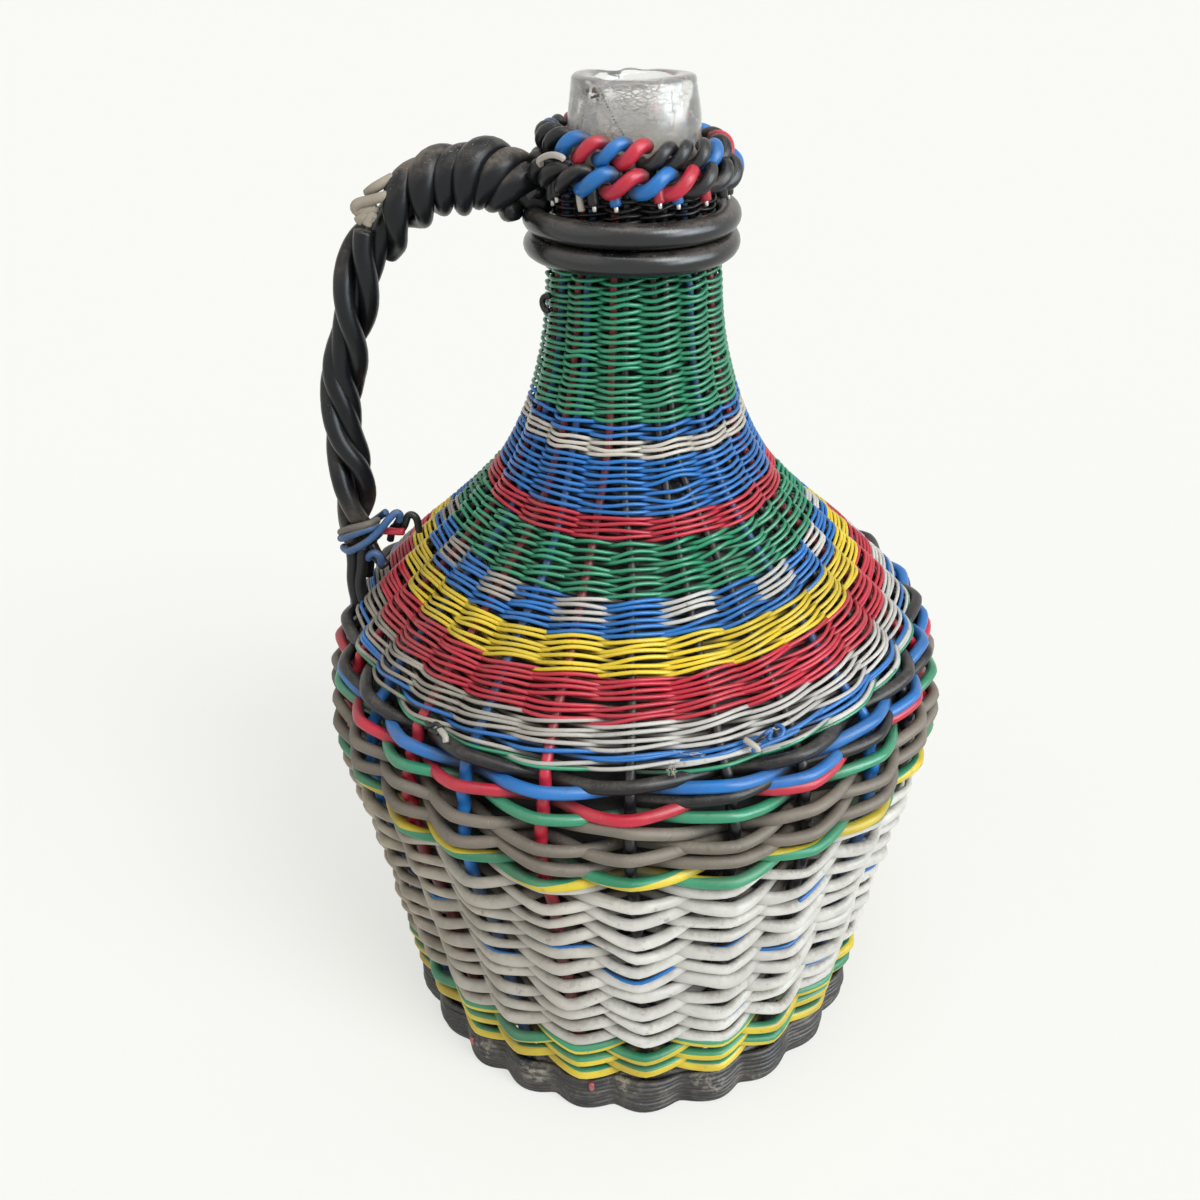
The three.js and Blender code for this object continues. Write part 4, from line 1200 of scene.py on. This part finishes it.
CRACK_LINES = [
    (34, 34.5, 337, 324.5, 0.055), (27, 40, 334.2, 333.6, 0.04), (30, 38, 331.6, 331.9, 0.035),
    (-22, 6, 334.9, 334.5, 0.03), (-4, 27, 333.6, 334, 0.03), (-12, 12, 331.4, 332, 0.03),
    (8, 24, 330.2, 329.8, 0.03), (-6, 9, 329, 328.5, 0.03), (-18, -8, 332.8, 333.3, 0.03),
    (12, 20, 336.2, 335.6, 0.035),
]
CRACK_DOTS, CHIP_DOTS = 19, 16


def on_mouth(azimuth, z):
    """Points on the outside of the mouth."""
    reach, heights = zip(*SHOULDER, LIP[0])
    return around(np.interp(z, heights, reach) + wobble(azimuth, z), azimuth, z)


def make_mouth_cracks():
    """A dotted crack in front, dirt round the chip, a crack on the right and fine lines round the lip."""
    cracks = Piece()
    share = np.linspace(0, 1, CRACK_DOTS)
    dots = list(zip(-32 + 27.2 * share, 337.6 - 13.4 * share, rng.uniform(0.16, 0.27, CRACK_DOTS)))
    ranges = ((-47, -33), (334.6, 337.4), (0.2, 0.55))
    dots += list(zip(*(rng.uniform(low, high, CHIP_DOTS) for low, high in ranges)))
    for azimuth, z, wide in dots:
        spot = on_mouth(np.array([azimuth]), np.array([z]))[0]
        ends = np.array([spot * [0.998, 0.998, 1], spot * [1.006, 1.006, 1]])
        cracks.tube(ends, wide, outward=(0, 0, 1))
    share = np.linspace(0, 1, 30)
    for a, b, top, bottom, wide in CRACK_LINES:
        azimuth = a + (b - a) * share + ripple(share * 300, 0.5, 1, 7)
        z = top + (bottom - top) * share + ripple(share * 300, 0.18, 1, 7)
        level = abs(top - bottom) < 3
        cracks.tube(on_mouth(azimuth, z), wide, 6, outward=(0, 0, 1) if level else None)
    cracks.make("mouth_cracks", CRACK)


make_mouth_cracks()

LOOSE_WIRES = [
    ("loose_blue_ends", BLUE, 0.7, [
        [(35.3, -90.5, 172.6), (36.2, -90.2, 173.4), (38, -89.6, 174.9), (39.6, -88.6, 175.3),
         (38.6, -90, 173.4), (39.7, -90.2, 172.7), (42.2, -89.2, 173.2), (43.2, -87.6, 174.4),
         (42.1, -86.4, 175), (41, -85.6, 173.7)],
        [(33.8, -93.5, 171.4), (37.6, -91.8, 172.3), (42.1, -89.8, 172.9), (48.1, -85.6, 172.9)],
    ]),
    ("loose_black_ends", BLACK, 0.6, [
        [(34.4, -91.6, 172.9), (36.7, -91, 174.3), (39.3, -88.4, 174.4), (40.9, -89.2, 174.8),
         (40.3, -89.4, 173.2)],
        [(-62.4, -78.6, 170.2), (-60.5, -80.7, 170.3), (-58.9, -81, 171.7), (-57.6, -82, 171),
         (-59.5, -82, 169.5), (-61.2, -80.8, 169.3), (-58.1, -83.4, 169.5)],
    ]),
    ("loose_neck_end", BLACK, 0.95, [
        [(-25.4, -13.4, 280), (-27.3, -12.2, 279.2), (-27.9, -11.7, 277.2), (-27, -12.8, 275.4),
         (-25.8, -14, 275.8)],
    ]),
    ("loose_cream_ends", CREAM, 0.95, [
        [(31.8, -91, 173.5), (33.7, -92.6, 173.2), (35.2, -93.1, 172.1), (35.4, -93.9, 171)],
        [(-58.8, -80.8, 170), (-57.2, -82.8, 170.1), (-55.8, -84.6, 169.7), (-55.5, -85.8, 168.5)],
    ]),
    ("collar_cream_end", CREAM, 0.9, [
        [(-26.3, -14.2, 317.6), (-26.75, -15.4, 318.9), (-24.6, -18.6, 320.7), (-22.1, -21.4, 321.5),
         (-19.9, -23.3, 321.2), (-19, -23.2, 320.2)],
    ]),
    ("loose_red_ends", FADED, 1.0, [
        [(-61, -69, 9.4), (-61.4, -69.4, 11), (-61.2, -69, 12.6)],
        [(-15.4, -91, 13.4), (-15.5, -91.4, 15), (-15.4, -90.8, 16.6)],
    ]),
]
for wire_row in LOOSE_WIRES:
    bent_wire(*wire_row)

# Fibres caught in the cover: middle of a tangle, reach, how many

TANGLES = [
    ((10.8, -100.8, 170.4), (2.0, 1.2, 3.2), 9), ((15, -97.6, 173.4), (5, 2.2, 1.4), 3),
    ((-43.5, -82.4, 28), (2.4, 1.6, 2.8), 3), ((-79, -7.6, 301), (3, 1, 2.4), 5),
]
FIBRE_KNOTS, FIBRE_STEP = 9, 0.4


def make_fibres():
    fibres = Piece()
    for middle, reach, count in TANGLES:
        for _ in range(count):
            walk = np.cumsum(rng.normal(0, 1, (FIBRE_KNOTS, 3)), axis=0)
            walk = walk / np.abs(walk).max() * np.array(reach) + np.array(middle)
            fibres.tube(through(walk, FIBRE_STEP), rng.uniform(0.05, 0.10), 5, outward=(0.2, 1, 0.3))
    fibres.make("fibres", FIBRE)


make_fibres()

# Carried-over CAD nodes

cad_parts["base_disc"].data.materials.clear()
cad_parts["base_disc"].data.materials.append(GREY)

# Stage

FLOOR_HALF = 30
FLOOR_GLOW, FLOOR_GLOW_SHARE = (0.955, 0.96, 0.92), 0.66
WORLD_COLOR, WORLD_LIGHT, WORLD_SEEN = (1.0, 0.99, 0.965), 0.33, 0.95

# Lamps: name, azimuth, elevation, strength, angle, colour, and whether matt surfaces are lit too

LAMPS = [
    ("key", 46, 46, 1.62, 26, (1.0, 1.0, 1.0), True), ("window", 62, 18, 0.66, 24, (0.80, 0.95, 1.0), True),
    ("top", 5, 80, 0.75, 40, (1.0, 1.0, 1.0), True), ("fill", -60, 30, 0.30, 60, (1.0, 1.0, 1.0), True),
    ("gleam", 66, 14, 3.0, 56, (0.84, 0.93, 1.0), False),
]


def floor_material():
    """Pale floor, lightened where it is seen so that it shows only a soft shadow."""
    mat = Shader("pale_floor")
    tone = mat.mix(mat.noise(3, 2), (0.915, 0.915, 0.88), (0.925, 0.925, 0.89))
    mat.set(Base_Color=tone, Roughness=0.9, Specular_IOR_Level=0.0)
    glow = mat.node("Emission", Color=FLOOR_GLOW, Strength=1.0)
    blend = mat.node("MixShader", Fac=mat.times(mat.seen(), FLOOR_GLOW_SHARE))
    mat.links.new(mat.bsdf.outputs[0], blend.inputs[1])
    mat.links.new(glow.outputs[0], blend.inputs[2])
    mat.links.new(blend.outputs[0], mat.nodes["Material Output"].inputs["Surface"])
    return mat.material


def make_stage():
    mesh = bpy.data.meshes.new("floor")
    h = FLOOR_HALF
    mesh.from_pydata([(-h, -h, 0), (h, -h, 0), (h, h, 0), (-h, h, 0)], [], [(0, 1, 2, 3)])
    mesh.materials.append(floor_material())
    add("floor", mesh)
    world = bpy.data.worlds.new("studio")
    bpy.context.scene.world = world
    world.use_nodes = True
    sky = Nodes(world.node_tree)
    strength = sky.node("MapRange", Value=sky.seen(), To_Min=WORLD_LIGHT, To_Max=WORLD_SEEN)
    background = sky.nodes["Background"]
    sky.put(background.inputs["Color"], WORLD_COLOR)
    sky.put(background.inputs["Strength"], strength.outputs["Result"])
    for name, azimuth, elevation, strength, angle, color, matt in LAMPS:
        light = bpy.data.lights.new(name, "SUN")
        light.energy = strength
        light.color = color
        light.angle = math.radians(angle)
        lamp = add(name, light)
        lamp.rotation_euler = (math.radians(90 - elevation), 0, math.radians(azimuth))
        lamp.visible_diffuse = lamp.visible_transmission = matt


make_stage()

CAMERA_PLACE = (0, -0.340, 0.376)
CAMERA_PITCH = 30.21
CAMERA_LENS, CAMERA_SENSOR = 33.06, 36
CAMERA_SHIFT = (-0.0288, -0.0275)
CAMERA_NEAR = 0.01


def make_camera():
    data = bpy.data.cameras.new("camera")
    data.sensor_width = CAMERA_SENSOR
    data.lens = CAMERA_LENS
    data.shift_x, data.shift_y = CAMERA_SHIFT
    data.clip_start = CAMERA_NEAR
    camera = add("camera", data)
    camera.location = CAMERA_PLACE
    camera.rotation_euler = (math.radians(90 - CAMERA_PITCH), 0, 0)
    bpy.context.scene.camera = camera


make_camera()
bpy.context.scene.view_settings.view_transform = "Standard"
